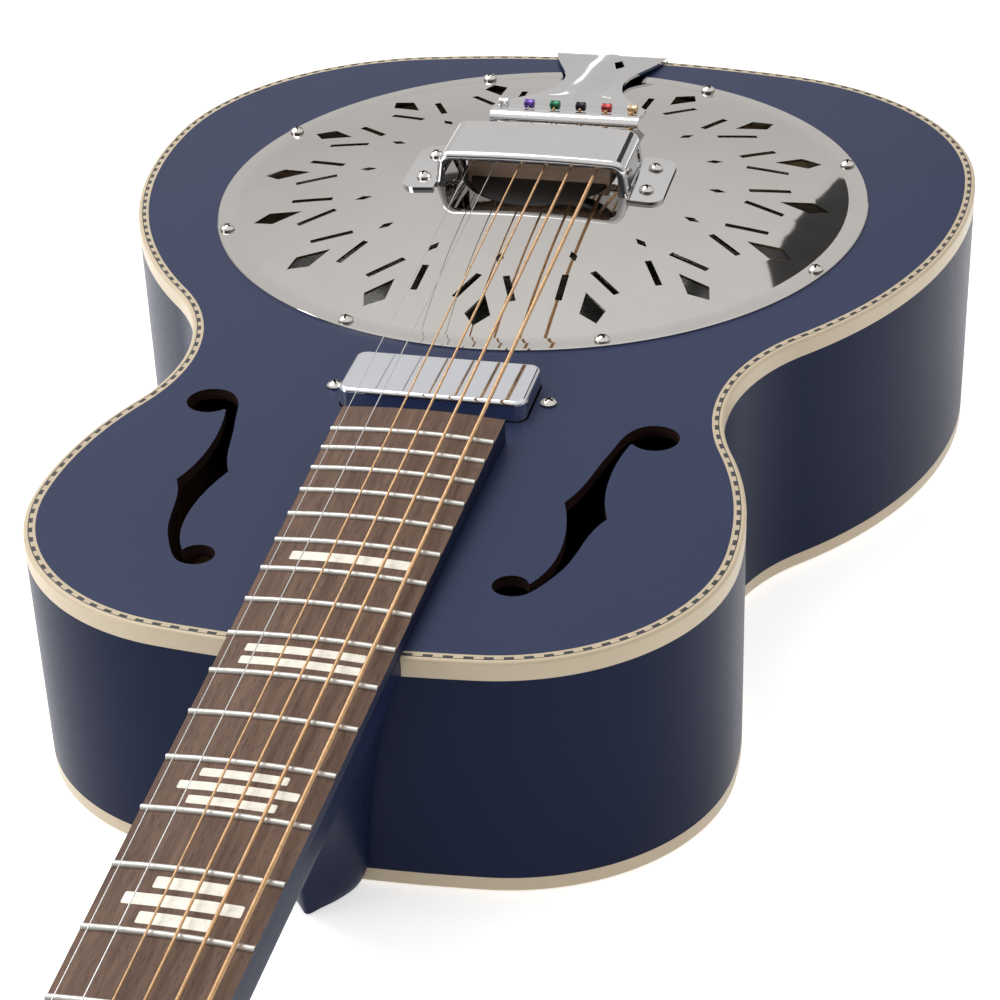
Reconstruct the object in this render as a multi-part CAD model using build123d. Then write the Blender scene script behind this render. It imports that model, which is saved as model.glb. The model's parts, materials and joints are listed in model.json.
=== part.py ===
from build123d import *
import math
import os

# Acoustic-electric parlour resonator guitar, 12 frets to the body, biscuit bridge.
# Everything is drawn in the "top frame": Z = 0 is the outer face of the top, +Y runs
# from the headstock to the tail, +X is the bass side and the origin is the end of
# the scale, over the cone. place() then sets the guitar down flat on its back.

# ---------------------------------------------------------------- scale and body
SCALE = 645.16
FRETS = 20
Y_FRET12 = -SCALE / 2
CENTRE_Y = 3.0
DEPTH_AT_BRIDGE = 99.8
BACK_TAPER = 0.04
TILT = math.degrees(math.atan(BACK_TAPER))
TOP_T = 4.0
BACK_T = 3.0
SIDE_T = 2.8

# Outer outline: arcs that run tangent from the tail to the neck.
TAIL_Y = 151.0
R_TAIL = 392.3
R_CORNER = 107.5
R_FLANK = 190.0
R_WAIST = 78.4
R_UPPER = 148.2
R_SHOULDER = 75.0
TURN_TAIL = 12.0
TURN_CORNER = 84.3
TURN_FLANK = 131.8
TURN_WAIST = 66.4
TURN_UPPER = 91.7
TURN_SHOULDER = 173.7

# Each side is drawn in short lengths (x low, x high, y low, y high), so that none bends far.
RIM_GAP = 0.02
RIM_LENGTHS = (
    (0.0, 85.0, 100.0, 170.0), (85.0, 200.0, 100.0, 170.0), (85.0, 200.0, 30.0, 100.0),
    (85.0, 200.0, -50.0, 30.0), (85.0, 200.0, -103.0, -50.0), (85.0, 200.0, -150.0, -103.0),
    (85.0, 200.0, -197.0, -150.0), (85.0, 200.0, -265.0, -197.0), (66.0, 200.0, -330.0, -265.0),
    (28.0, 66.0, -345.0, -265.0), (0.0, 28.0, -345.0, -265.0),
)

# Edge decoration.
BINDING_W = 1.6
TOP_BINDING_H = 6.5
BACK_BINDING_H = 5.5
PURFLING_W = 2.5
PURFLING_T = 2.0

# Linings and blocks inside.
LINING_W = 7.0
LINING_H = 12.0
NECK_BLOCK_W = 64.0
NECK_BLOCK_Y = -278.0
TAIL_BLOCK_W = 60.0
TAIL_BLOCK_Y = 135.0

# ---------------------------------------------------------------- resonator
WELL_R = 121.5
WELL_OUTER_R = 128.0
WELL_DEPTH = 27.0
LEDGE_R = 113.0
LEDGE_Z = -20.8
CONE_R = 120.6
CONE_T = 0.8
CONE_TOP_Z = 1.5
BISCUIT_R = 27.0
BISCUIT_H = 8.0
SADDLE_L = 57.0
SADDLE_T = 5.0
SADDLE_SLOT = 3.0

# Coverplate: a shallow dome on a flat rim.
PLATE_R = 128.4
PLATE_T = 1.0
DOME_R = 680.0
DOME_TOP_Z = 12.0
DOME_EDGE_R = 120.8
RIM_R = 123.8
MOUTH_R = 30.5
PLATE_SCREW_R = 124.8
PLATE_HEAD_R = 2.85
UNITS = 16
KITE = (94.9, 107.4, 114.3, 4.9)
SLOT_IN = (82.2, 5.1)
SLOT_OUT = (97.8, 10.9)
SLOT_W = 2.6
SMALL_DIAMOND = (70.4, 3.6, 1.6)

# Hand rest over the saddle.
REST_Y = 2.5
REST_L = 33.4
REST_TOP_Z = 26.0
REST_W = 73.6
REST_FOOT_W = 79.6
REST_T = 1.2
REST_LIP_Z = 22.6
REST_CROWN = 0.9
REST_CORNER_R = 5.6
REST_ROLL_R = 2.5
REST_WINDOW = 34.6
REST_PANEL_L = 22.0
REST_PANEL_H = 8.6
REST_PANEL_Z = 16.8
REST_PANEL_D = 0.5
FLANGE_X = 52.0
FLANGE_L = 40.2
FLANGE_SCREW_X = 44.5
FLANGE_SCREW_DY = 10.2

# Tailpiece.
TP_T = 1.2
TP_BAR_HALF = 31.4
TP_BALL_Y = 57.1
TP_BALL_Z = 17.0
TP_FRONT_Y = 47.0
TP_LIP_Z = 12.4
TP_STRAP_Z = -46.0
RIB_SHAPE = (
    (152.2, 8.6, 0.5), (149.5, 8.8, 1.2), (144.0, 9.0, 2.0), (134.0, 9.2, 2.7), (122.0, 9.4, 2.9),
    (110.0, 9.8, 2.5), (98.0, 10.6, 1.8), (86.0, 12.2, 0.9), (76.0, 14.0, 0.05),
)

# ---------------------------------------------------------------- pickup
PICKUP_Y = -159.5
PICKUP_L = 66.6
PICKUP_W = 29.0
PICKUP_TOP = 7.5
PICKUP_DEEP = 8.0
PICKUP_SCREW_X = 38.4

# ---------------------------------------------------------------- neck
NECK_RISE = 0.03
NECK_ANGLE = math.degrees(math.atan(NECK_RISE))
BOARD_TOP_Z = 5.96
NECK_X = 1.46
BOARD_T = 5.0
BOARD_END = 134.6
NUT_W = 41.3
W_AT_12 = 52.3
CAMBER_R = 305.0
FRET_W = 2.3
FRET_H = 1.1
NUT_T = 5.0
NUT_SPREAD = 36.0
SADDLE_SPREAD = 50.4
STRING_LIFT_NUT = 1.5
STRING_LIFT_12 = 3.0
STRING_R = (0.16, 0.21, 0.33, 0.43, 0.54, 0.68)
HEAD_ANGLE = 12.0
HEAD_T = 15.0
OVERLAY_T = 1.5
NECK_JOINT = 322.6
# Heel levels: height, half width, reach, sideways set, and how pointed the tip is.
HEEL_SHAPE = (
    (-1.0, 25.9, 104.0, 1.46, 0.0), (-12.0, 23.2, 88.0, 1.3, 0.08), (-22.0, 20.7, 66.0, 1.1, 0.16),
    (-34.0, 18.2, 45.0, 0.8, 0.26), (-50.0, 16.0, 31.0, 0.3, 0.38), (-68.0, 14.8, 23.0, -0.5, 0.5),
    (-80.0, 14.2, 19.6, -1.0, 0.58), (-85.8, 11.9, 18.0, -1.2, 0.62),
)

# ---------------------------------------------------------------- tuners
POST_X = 23.0
POST_Y = (-38.0, -78.0, -118.0)
POST_R = 3.0
POST_TOP = 15.0
RUN = 0.06
PLATE_BACK_T = 1.2
GEAR_TEETH = 14
GEAR_R = 6.0
GEAR_ROOT = 5.25
GEAR_TIP = 6.6
GEAR_T = 2.4
WORM_DROP = 8.6
WORM_CORE = 1.9
WORM_CREST = 3.2
WORM_L = 8.4
WORM_Z = -19.7
WORM_PITCH = 2 * math.pi * GEAR_R / GEAR_TEETH

PLACE = Location((0, 0, DEPTH_AT_BRIDGE * math.cos(math.radians(TILT))), (TILT, 0, 0))
NECK = Location((NECK_X, Y_FRET12, BOARD_TOP_Z), (NECK_ANGLE, 0, 0))
HEAD = NECK * Location((0, -SCALE / 2 - NUT_T, -BOARD_T), (HEAD_ANGLE, 0, 0))


def place(shape):
    return PLACE * shape


def save(name, solids):
    if not isinstance(solids, list):
        solids = [solids]
    parts = []
    for item in solids:
        parts.extend(place(item).solids())
    export_step(Compound(parts), "parts/" + name + ".step")


def mirrored(shape):
    return mirror(shape, Plane.YZ)


# ---------------------------------------------------------------- outline
def toward(angle):
    return math.sin(math.radians(angle)), math.cos(math.radians(angle))


def step_centre(centre, distance, angle):
    dx, dy = toward(angle)
    return centre[0] + distance * dx, centre[1] + distance * dy


def outline_arcs():
    c1 = (0.0, TAIL_Y - R_TAIL)
    c2 = step_centre(c1, R_TAIL - R_CORNER, TURN_TAIL)
    c3 = step_centre(c2, R_CORNER - R_FLANK, TURN_CORNER)
    c4 = step_centre(c3, R_FLANK + R_WAIST, TURN_FLANK)
    c5 = step_centre(c4, -R_WAIST - R_UPPER, TURN_WAIST)
    c6 = step_centre(c5, R_UPPER - R_SHOULDER, TURN_UPPER)
    r_end = R_SHOULDER + c6[0] / toward(TURN_SHOULDER)[0]
    c7 = step_centre(c6, R_SHOULDER - r_end, TURN_SHOULDER)
    return (
        (c1, R_TAIL, 0.0, TURN_TAIL, 1),
        (c2, R_CORNER, TURN_TAIL, TURN_CORNER, 1),
        (c3, R_FLANK, TURN_CORNER, TURN_FLANK, 1),
        (c4, R_WAIST, TURN_FLANK, TURN_WAIST, -1),
        (c5, R_UPPER, TURN_WAIST, TURN_UPPER, 1),
        (c6, R_SHOULDER, TURN_UPPER, TURN_SHOULDER, 1),
        ((0.0, c7[1]), r_end, TURN_SHOULDER, 180.0, 1),
    )


def outline_face(inset):
    edges = []
    for centre, radius, start, end, side in outline_arcs():
        r = radius - side * inset
        points = []
        for angle in (start, (start + end) / 2, end):
            dx, dy = toward(angle)
            points.append((centre[0] + side * r * dx, centre[1] + side * r * dy))
        points[0] = (max(points[0][0], 0.0), points[0][1])
        if abs(points[2][0]) < 1e-6:
            points[2] = (0.0, points[2][1])
        edges.append(ThreePointArc(*points))
        edges.append(ThreePointArc(*[(-x, y) for x, y in points]))
    return make_face(Wire(edges))


def prism(inset, z_high, z_low):
    return Pos(0, 0, z_low) * extrude(outline_face(inset), amount=z_high - z_low)


def below_back(lift):
    slab = Pos(0, 0, lift) * Box(500, 900, 200, align=(Align.CENTER, Align.CENTER, Align.MAX))
    return Location((0, 0, -DEPTH_AT_BRIDGE), (-TILT, 0, 0)) * slab


def slab_above_back(lift):
    return below_back(lift) - below_back(0)


def drum(radius, z_high, z_low):
    low_end = (Align.CENTER, Align.CENTER, Align.MIN)
    return Pos(0, CENTRE_Y, z_low) * Cylinder(radius, z_high - z_low, align=low_end)


# ---------------------------------------------------------------- sound openings
def f_hole_face():
    upper_eye = Pos(-78.8, -176.8) * Circle(8.4)
    lower_eye = Pos(-51.25, -274.4) * Circle(5.85)
    outer_upper = Spline(
        (-78.8, -168.4), (-72.5, -170.6), (-68.6, -176.7), (-66.3, -186.7),
        (-64.3, -195.5), (-62.0, -208.3), (-57.4, -222.7),
    )
    outer_lower = Spline(
        (-57.4, -222.7), (-60.0, -231.7), (-61.8, -242.5), (-62.2, -251.0),
        (-61.4, -260.0), (-57.1, -272.1),
    )
    inner_lower = Spline(
        (-51.5, -280.25), (-56.7, -278.6), (-60.0, -274.2), (-62.9, -268.3),
        (-65.8, -260.8), (-68.5, -245.8), (-73.1, -230.4),
    )
    inner_upper = Spline(
        (-73.1, -230.4), (-70.0, -219.2), (-68.9, -208.0), (-69.3, -195.0),
        (-71.3, -182.5),
    )
    closing = [
        Line((-57.1, -272.1), (-51.25, -274.4)),
        Line((-51.25, -274.4), (-51.5, -280.25)),
        Line((-71.3, -182.5), (-78.8, -176.8)),
        Line((-78.8, -176.8), (-78.8, -168.4)),
    ]
    stem = make_face(Wire([outer_upper, outer_lower, inner_lower, inner_upper] + closing))
    return stem + upper_eye + lower_eye


def f_hole():
    return Pos(0, 0, -TOP_T - 2) * extrude(f_hole_face(), amount=TOP_T + 4)


# ---------------------------------------------------------------- screws
def pan_head_screw(length, shank_r, head_r):
    head = Cylinder(head_r, 3.0, align=(Align.CENTER, Align.CENTER, Align.MIN))
    head = head & Pos(0, 0, 2.2 - head_r * 1.25) * Sphere(head_r * 1.25)
    shank = Cylinder(shank_r, length, align=(Align.CENTER, Align.CENTER, Align.MAX))
    cross = Pos(0, 0, 1.0) * (Box(0.8, head_r * 1.25, 3, align=(Align.CENTER, Align.CENTER, Align.MIN))
                              + Box(head_r * 1.25, 0.8, 3, align=(Align.CENTER, Align.CENTER, Align.MIN)))
    return head + shank - cross


def dome_z(radius):
    return DOME_TOP_Z - DOME_R + math.sqrt(DOME_R ** 2 - radius ** 2)


def plate_screw_spots():
    spots = []
    for k in range(8):
        angle = math.radians(22.5 + 45 * k)
        spots.append((PLATE_SCREW_R * math.cos(angle), CENTRE_Y + PLATE_SCREW_R * math.sin(angle)))
    return spots


def on_dome(x, y, lift):
    """A frame standing square on the dome, lifted off its outer face."""
    up = Vector(x, y - CENTRE_Y, math.sqrt(DOME_R ** 2 - x ** 2 - (y - CENTRE_Y) ** 2)) / DOME_R
    middle = Vector(0, CENTRE_Y, DOME_TOP_Z - DOME_R)
    return Plane(origin=middle + up * (DOME_R + lift), x_dir=(0, 1, 0), z_dir=up).location


def rest_screw_locations():
    spots = []
    for side in (-1, 1):
        for dy in (-FLANGE_SCREW_DY, FLANGE_SCREW_DY):
            spots.append(on_dome(side * FLANGE_SCREW_X, REST_Y + dy, REST_T + 0.01))
    return spots


def pickup_screw_spots():
    return [(-PICKUP_SCREW_X, PICKUP_Y), (PICKUP_SCREW_X, PICKUP_Y)]


def through(x, y, radius, z_high=20, z_low=-40):
    low_end = (Align.CENTER, Align.CENTER, Align.MIN)
    return Pos(x, y, z_low) * Cylinder(radius, z_high - z_low, align=low_end)


# ---------------------------------------------------------------- body parts
def top_plate():
    upper = prism(BINDING_W + PURFLING_W, 0, -PURFLING_T)
    plate = upper + prism(BINDING_W, -PURFLING_T, -TOP_T)
    plate -= drum(WELL_R, 5, -10)
    cavity = Box(PICKUP_L + 0.8, PICKUP_W + 0.8, 20)
    plate -= Pos(0, PICKUP_Y, 0) * fillet(cavity.edges().filter_by(Axis.Z), 4.2)
    hole = f_hole()
    plate -= hole
    plate -= mirrored(hole)
    for x, y in plate_screw_spots():
        plate -= through(x, y, 1.4)
    for x, y in pickup_screw_spots():
        plate -= through(x, y, 1.4)
    return plate


def back_plate():
    return prism(BINDING_W, -60, -130) & slab_above_back(BACK_T)


def side_lengths():
    """Boxes that divide one bent side into short lengths, from the tail to the neck."""
    boxes = []
    for x_low, x_high, y_low, y_high in RIM_LENGTHS:
        size = (x_high - x_low - RIM_GAP, y_high - y_low - RIM_GAP, 200)
        boxes.append(Pos((x_low + x_high) / 2, (y_low + y_high) / 2, -60) * Box(*size))
    return boxes


def side_rim():
    web = prism(BINDING_W, -TOP_T, -130) - prism(SIDE_T, 0, -131) - below_back(BACK_T)
    skin = prism(0, -TOP_BINDING_H, -130) - prism(BINDING_W, 0, -131) - below_back(BACK_BINDING_H)
    rim = web + skin
    rim -= tail_bore(6.0)
    for x, z in strap_screw_spots():
        rim -= tail_screw_hole(x, z)
    for z in BOLT_Z:
        rim -= neck_bolt_bore(z, 3.0)
    lengths = []
    for box in side_lengths():
        lengths.append(rim & box)
        lengths.append(rim & mirrored(box))
    return lengths


def top_binding():
    return prism(0, 0, -TOP_BINDING_H) - prism(BINDING_W, 1, -TOP_BINDING_H - 1)


def top_purfling():
    return prism(BINDING_W, 0, -PURFLING_T) - prism(BINDING_W + PURFLING_W, 1, -PURFLING_T - 1)


def back_binding():
    ring = prism(0, -60, -130) - prism(BINDING_W, -59, -131)
    return ring & slab_above_back(BACK_BINDING_H)


def block_space():
    neck_end = Pos(0, NECK_BLOCK_Y, 0) * Box(
        NECK_BLOCK_W, 80, 300, align=(Align.CENTER, Align.MAX, Align.CENTER))
    tail_end = Pos(0, TAIL_BLOCK_Y, 0) * Box(
        TAIL_BLOCK_W, 80, 300, align=(Align.CENTER, Align.MIN, Align.CENTER))
    return neck_end, tail_end


def linings():
    neck_end, tail_end = block_space()
    top = prism(SIDE_T, -TOP_T, -TOP_T - LINING_H) - prism(SIDE_T + LINING_W, 0, -40)
    foot = prism(SIDE_T + 3, -TOP_T - 5, -40) - prism(SIDE_T + LINING_W + 1, 0, -41)
    top -= foot
    lift = BACK_T + LINING_H
    back = (prism(SIDE_T, -50, -130) - prism(SIDE_T + LINING_W, -49, -131)) & below_back(lift)
    back -= below_back(BACK_T)
    return [top - neck_end - tail_end, back - neck_end - tail_end]


def neck_block():
    neck_end, tail_end = block_space()
    block = (prism(SIDE_T, -TOP_T, -130) & neck_end) - below_back(BACK_T)
    for z in BOLT_Z:
        block -= neck_bolt_bore(z, 3.0)
    return block


def tail_block():
    neck_end, tail_end = block_space()
    block = (prism(SIDE_T, -TOP_T, -130) & tail_end) - below_back(BACK_T)
    block -= tail_bore(6.0)
    for x, z in strap_screw_spots():
        block -= tail_screw_hole(x, z)
    return block


def soundwell():
    ring = drum(WELL_OUTER_R, -TOP_T, -WELL_DEPTH) - drum(WELL_R, 0, LEDGE_Z)
    ring -= drum(LEDGE_R, 0, -WELL_DEPTH - 1)
    for x, y in plate_screw_spots():
        ring -= through(x, y, 1.4, z_low=-11)
    return ring


# ---------------------------------------------------------------- tail hardware
JACK_Z = -62.0
BOLT_Z = (-22.0, -58.0)


def along_y(x, z, radius, y_low, y_high):
    rod = Cylinder(radius, y_high - y_low, align=(Align.CENTER, Align.CENTER, Align.MIN))
    return Location((x, y_low, z), (-90, 0, 0)) * rod


def tail_bore(radius):
    return along_y(0, JACK_Z, radius, 100, 170)


def strap_screw_spots():
    return [(-10.0, -26.0), (10.0, -26.0), (0.0, -39.0)]


def tail_screw_hole(x, z):
    return along_y(x, z, 1.4, 138, 170)


def neck_bolt_bore(z, radius):
    return along_y(0, z, radius, -400, -200)


def end_pin_jack():
    barrel = along_y(0, JACK_Z, 6.0, 121, 151.4)
    collar = along_y(0, JACK_Z, 9.0, 151.2, 153.4)
    waist = along_y(0, JACK_Z, 6.5, 153.3, 160.0)
    cap = along_y(0, JACK_Z, 8.5, 160.0, 163.5)
    washer = along_y(0, JACK_Z, 10.0, 133.4, 135.0)
    jack = barrel + collar + waist + cap + washer
    return jack - along_y(0, JACK_Z, 3.2, 129, 170)


def tailpiece_profile():
    """Top and underside of the bent sheet, from the tail to the rolled front lip."""
    top_line = [
        (149.5, 1.5), (140.0, 2.5), (128.0, 3.8), (112.0, 5.7), (95.0, 8.4), (80.0, 11.2),
        (68.0, 13.7), (60.5, 14.85), (56.6, 15.0), (53.8, 15.8), (51.2, 16.5), (48.9, 15.9),
        (47.5, 14.6), (TP_FRONT_Y, 13.2),
    ]
    low_line = [
        (149.35, 0.3), (139.85, 1.3), (127.85, 2.6), (111.85, 4.5), (94.8, 7.2), (79.8, 10.0),
        (67.8, 12.5), (60.4, 13.65), (56.5, 13.8), (54.1, 14.4), (51.4, 15.1), (49.6, 14.8),
        (48.6, 14.1), (TP_FRONT_Y + TP_T, 13.2),
    ]
    return top_line, low_line


def sheet_height(y):
    """Height of the tailpiece's top face on the middle line."""
    top_line, low_line = tailpiece_profile()
    for (y_a, z_a), (y_b, z_b) in zip(top_line, top_line[1:]):
        if y_a >= y >= y_b:
            return z_a + (z_b - z_a) * (y_a - y) / (y_a - y_b)
    return top_line[0][1] - (y - top_line[0][0]) * 0.3


def side_face(edges):
    return make_face(Wire(edges))


def yz(points):
    return [Vector(0, y, z) for y, z in points]


def tailpiece_sheet():
    top_line, low_line = tailpiece_profile()
    top_pts = yz(top_line)
    low_pts = yz(low_line)
    front_low = Vector(0, TP_FRONT_Y, TP_LIP_Z)
    front_back = Vector(0, TP_FRONT_Y + TP_T, TP_LIP_Z)
    outer = [
        Line(Vector(0, 152.25, TP_STRAP_Z), Vector(0, 152.25, -0.6)),
        ThreePointArc(Vector(0, 152.25, -0.6), Vector(0, 151.6, 0.95), top_pts[0]),
        Spline(top_pts),
        Line(top_pts[-1], front_low),
        Line(front_low, front_back),
        Line(front_back, low_pts[-1]),
        Spline(list(reversed(low_pts))),
        Line(low_pts[0], Vector(0, 151.05, 0.05)),
        Line(Vector(0, 151.05, 0.05), Vector(0, 151.05, TP_STRAP_Z)),
        Line(Vector(0, 151.05, TP_STRAP_Z), Vector(0, 152.25, TP_STRAP_Z)),
    ]
    return extrude(side_face(outer), amount=40, both=True)


def tailpiece_plan():
    right = [
        (25.0, 153.0), (21.7, 140.0), (17.6, 129.0), (14.2, 119.0), (13.2, 111.0),
        (14.0, 101.0), (18.0, 86.0), (25.0, 72.0), (29.6, 64.5),
    ]
    left = [(-x, y) for x, y in reversed(right)]
    edges = [
        Spline(right),
        Line(right[-1], (TP_BAR_HALF, 62.0)),
        Line((TP_BAR_HALF, 62.0), (TP_BAR_HALF - 0.8, 45.0)),
        Line((TP_BAR_HALF - 0.8, 45.0), (0.8 - TP_BAR_HALF, 45.0)),
        Line((0.8 - TP_BAR_HALF, 45.0), (-TP_BAR_HALF, 62.0)),
        Line((-TP_BAR_HALF, 62.0), left[0]),
        Spline(left),
        Line(left[-1], right[0]),
    ]
    return Pos(0, 0, -60) * extrude(make_face(Wire(edges)), amount=90)


def strap_plan():
    half = [(25.0, 3.0), (24.6, -1.5), (17.0, -12.0), (16.0, -30.0), (10.0, TP_STRAP_Z + 1)]
    points = half + [(-x, z) for x, z in reversed(half)]
    face = make_face(Polyline(*[Vector(x, 0, z) for x, z in points], close=True))
    return Pos(0, 149, 0) * extrude(face, amount=20, both=True)


def rib_section(y, half, height):
    """A soft bell-shaped swelling that rises out of the sheet."""
    base = sheet_height(y) - 0.25
    points = []
    for step in range(-6, 7):
        share = step / 6.0
        lift = (height + 0.25) * (0.5 + 0.5 * math.cos(math.pi * share))
        points.append(Vector(half * share, y, base + lift))
    low = base - 0.5
    return make_face(Wire([
        Spline(points, tangents=[Vector(1, 0, 0), Vector(1, 0, 0)]),
        Line(points[-1], Vector(half, y, low)),
        Line(Vector(half, y, low), Vector(-half, y, low)),
        Line(Vector(-half, y, low), points[0]),
    ]))


def tailpiece_rib():
    return loft([rib_section(*row) for row in RIB_SHAPE])


def string_line(index):
    """Ends of one string's speaking length, along its centre, from nut to saddle."""
    share = index / 5.0 - 0.5
    x_nut = share * NUT_SPREAD
    x_end = share * SADDLE_SPREAD
    radius = STRING_R[index]
    v_end = (CENTRE_Y - Y_FRET12) / math.cos(math.radians(NECK_ANGLE))
    v_nut = -SCALE / 2
    rise = (STRING_LIFT_12 - STRING_LIFT_NUT) / (SCALE / 2)
    lift_end = STRING_LIFT_NUT + rise * (v_end - v_nut)
    drop_nut = x_nut ** 2 / (2 * CAMBER_R)
    drop_end = x_end ** 2 / (2 * CAMBER_R)
    start = NECK * Pos(x_nut, v_nut, STRING_LIFT_NUT + radius - drop_nut)
    end = NECK * Pos(x_end - NECK_X, v_end, lift_end + radius - drop_end)
    return start.position, end.position


def ball_spot(index):
    x = (index / 5.0 - 0.5) * 53.8
    return Vector(x, TP_BALL_Y, TP_BALL_Z)


def rod(start, end, radius):
    direction = end - start
    plane = Plane(origin=start, z_dir=direction)
    return plane * Cylinder(radius, direction.length, align=(Align.CENTER, Align.CENTER, Align.MIN))


def string_slot(index):
    x = ball_spot(index).X
    width = 2 * STRING_R[index] + 0.9
    return Pos(x, 54.2, 16) * Cylinder(width / 2 + 0.5, 8)


def tailpiece():
    plate = (tailpiece_sheet() & tailpiece_plan())
    strap = Pos(0, 151.65, -100) * Box(60, 1.2, 99.4, align=(Align.CENTER, Align.CENTER, Align.MIN))
    strap = strap & strap_plan()
    plate = plate & (strap_plan() + Pos(0, 0, 0) * Box(
        80, 151.05, 60, align=(Align.CENTER, Align.MIN, Align.CENTER)))
    plate += strap
    plate += tailpiece_rib()
    diamond = Polyline((6.1, 142.0), (8.5, 135.0), (6.1, 128.0), (4.0, 135.0), close=True)
    eye = Pos(0, 0, -2) * extrude(make_face(diamond), amount=12)
    plate -= eye
    for index in range(6):
        plate -= string_slot(index)
    for x, z in strap_screw_spots():
        plate -= along_y(x, z, 1.6, 145, 170)
    return plate


def tailpiece_screws():
    screws = []
    for x, z in strap_screw_spots():
        screw = pan_head_screw(13.0, 1.4, 3.4)
        screws.append(Location((x, 152.25, z), (-90, 0, 0)) * screw)
    return screws


def ball_ends():
    balls = []
    for index in range(6):
        spot = ball_spot(index)
        barrel = Rot(0, 90, 0) * Cylinder(1.95, 4.0)
        bore = Rot(0, 90, 0) * Cylinder(0.9, 6.0)
        balls.append(Pos(spot.X, spot.Y, spot.Z) * (barrel - bore))
    return balls


# ---------------------------------------------------------------- resonator parts
def revolve_profile(points):
    face = make_face(Polyline(*[Vector(r, 0, z) for r, z in points], close=True))
    return Pos(0, CENTRE_Y, 0) * revolve(face, Axis.Z, 360)


def resonator_cone():
    upper = [
        (0, CONE_TOP_Z), (25, CONE_TOP_Z), (34, 0.4), (70, -7.4), (98, -14.0), (110.5, -17.6),
        (112.5, LEDGE_Z + CONE_T), (CONE_R, LEDGE_Z + CONE_T),
    ]
    lower = [(r, z - CONE_T) for r, z in reversed(upper)]
    cone = revolve_profile(upper + lower)
    return cone - through(0, CENTRE_Y, 2.0)


def biscuit():
    disc = drum(BISCUIT_R, CONE_TOP_Z + BISCUIT_H, CONE_TOP_Z)
    disc -= Pos(0, CENTRE_Y, CONE_TOP_Z + BISCUIT_H - SADDLE_SLOT) * Box(
        70, SADDLE_T, 10, align=(Align.CENTER, Align.CENTER, Align.MIN))
    return disc - through(0, CENTRE_Y, 2.0, z_high=5.5, z_low=-5)


def biscuit_screw():
    low = CONE_TOP_Z - CONE_T
    shank = Pos(0, CENTRE_Y, low) * Cylinder(2.0, 4.7, align=(Align.CENTER, Align.CENTER, Align.MIN))
    head = Pos(0, CENTRE_Y, low) * Cylinder(4.0, 2.4, align=(Align.CENTER, Align.CENTER, Align.MAX))
    slot = Pos(0, CENTRE_Y, low - 2.4) * Box(9, 1.0, 2.0)
    return shank + head - slot


def saddle(strings):
    low = CONE_TOP_Z + BISCUIT_H - SADDLE_SLOT
    blank = Pos(0, CENTRE_Y, low) * Box(
        SADDLE_L, SADDLE_T, 24, align=(Align.CENTER, Align.CENTER, Align.MIN))
    crown_z = string_line(2)[1].Z + 0.1
    crown = Location((0, CENTRE_Y, crown_z - CAMBER_R), (-90, 0, 0)) * Cylinder(CAMBER_R, 40)
    block = blank & crown
    top_edges = block.edges().group_by(Axis.Z)[-1]
    block = chamfer(top_edges, 0.8)
    for item in strings:
        block -= item
    return block


def kite_faces():
    inner, middle, outer, half = KITE
    faces = []
    for k in range(UNITS):
        turn = Location((0, CENTRE_Y, 0), (0, 0, -90 + k * 360 / UNITS))
        shape = Polyline((inner, 0), (middle, half), (outer, 0), (middle, -half), close=True)
        faces.append(turn * make_face(shape))
        centre, reach, narrow = SMALL_DIAMOND
        shape = Polyline((centre - reach, 0), (centre, narrow), (centre + reach, 0), (centre, -narrow), close=True)
        faces.append(turn * make_face(shape))
        for side in (-1, 1):
            x1, y1 = SLOT_IN
            x2, y2 = SLOT_OUT
            lean = math.degrees(math.atan2(side * (y2 - y1), x2 - x1))
            length = math.hypot(x2 - x1, y2 - y1)
            spot = Location(((x1 + x2) / 2, side * (y1 + y2) / 2, 0), (0, 0, lean))
            faces.append(turn * spot * Rectangle(length, SLOT_W))
    return faces


def coverplate():
    top_mid = (MOUTH_R + DOME_EDGE_R) / 2
    edge_z = dome_z(DOME_EDGE_R)
    blend = (DOME_EDGE_R + RIM_R) / 2
    blend_z = (edge_z + PLATE_T) / 2 - 0.03
    edges = [
        ThreePointArc(
            Vector(MOUTH_R, 0, dome_z(MOUTH_R)), Vector(top_mid, 0, dome_z(top_mid)),
            Vector(DOME_EDGE_R, 0, edge_z)),
        ThreePointArc(
            Vector(DOME_EDGE_R, 0, edge_z), Vector(blend, 0, blend_z), Vector(RIM_R, 0, PLATE_T)),
        Line(Vector(RIM_R, 0, PLATE_T), Vector(PLATE_R - 0.4, 0, PLATE_T)),
        Line(Vector(PLATE_R - 0.4, 0, PLATE_T), Vector(PLATE_R, 0, PLATE_T - 0.4)),
        Line(Vector(PLATE_R, 0, PLATE_T - 0.4), Vector(PLATE_R, 0, 0)),
        Line(Vector(PLATE_R, 0, 0), Vector(RIM_R, 0, 0)),
        ThreePointArc(
            Vector(RIM_R, 0, 0), Vector(blend, 0, blend_z - PLATE_T),
            Vector(DOME_EDGE_R, 0, edge_z - PLATE_T)),
        ThreePointArc(
            Vector(DOME_EDGE_R, 0, edge_z - PLATE_T), Vector(top_mid, 0, dome_z(top_mid) - PLATE_T),
            Vector(MOUTH_R, 0, dome_z(MOUTH_R) - PLATE_T)),
        Line(Vector(MOUTH_R, 0, dome_z(MOUTH_R) - PLATE_T), Vector(MOUTH_R, 0, dome_z(MOUTH_R))),
    ]
    plate = Pos(0, CENTRE_Y, 0) * revolve(make_face(Wire(edges)), Axis.Z, 360)
    cutters = [Pos(0, 0, -5) * extrude(face, amount=25) for face in kite_faces()]
    for x, y in plate_screw_spots():
        cutters.append(through(x, y, 1.6))
        cutters.append(through(x, y, PLATE_HEAD_R + 0.1, z_low=PLATE_T))
    for spot in rest_screw_locations():
        cutters.append(spot * Cylinder(1.4, 30))
    return plate.cut(*cutters)


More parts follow.
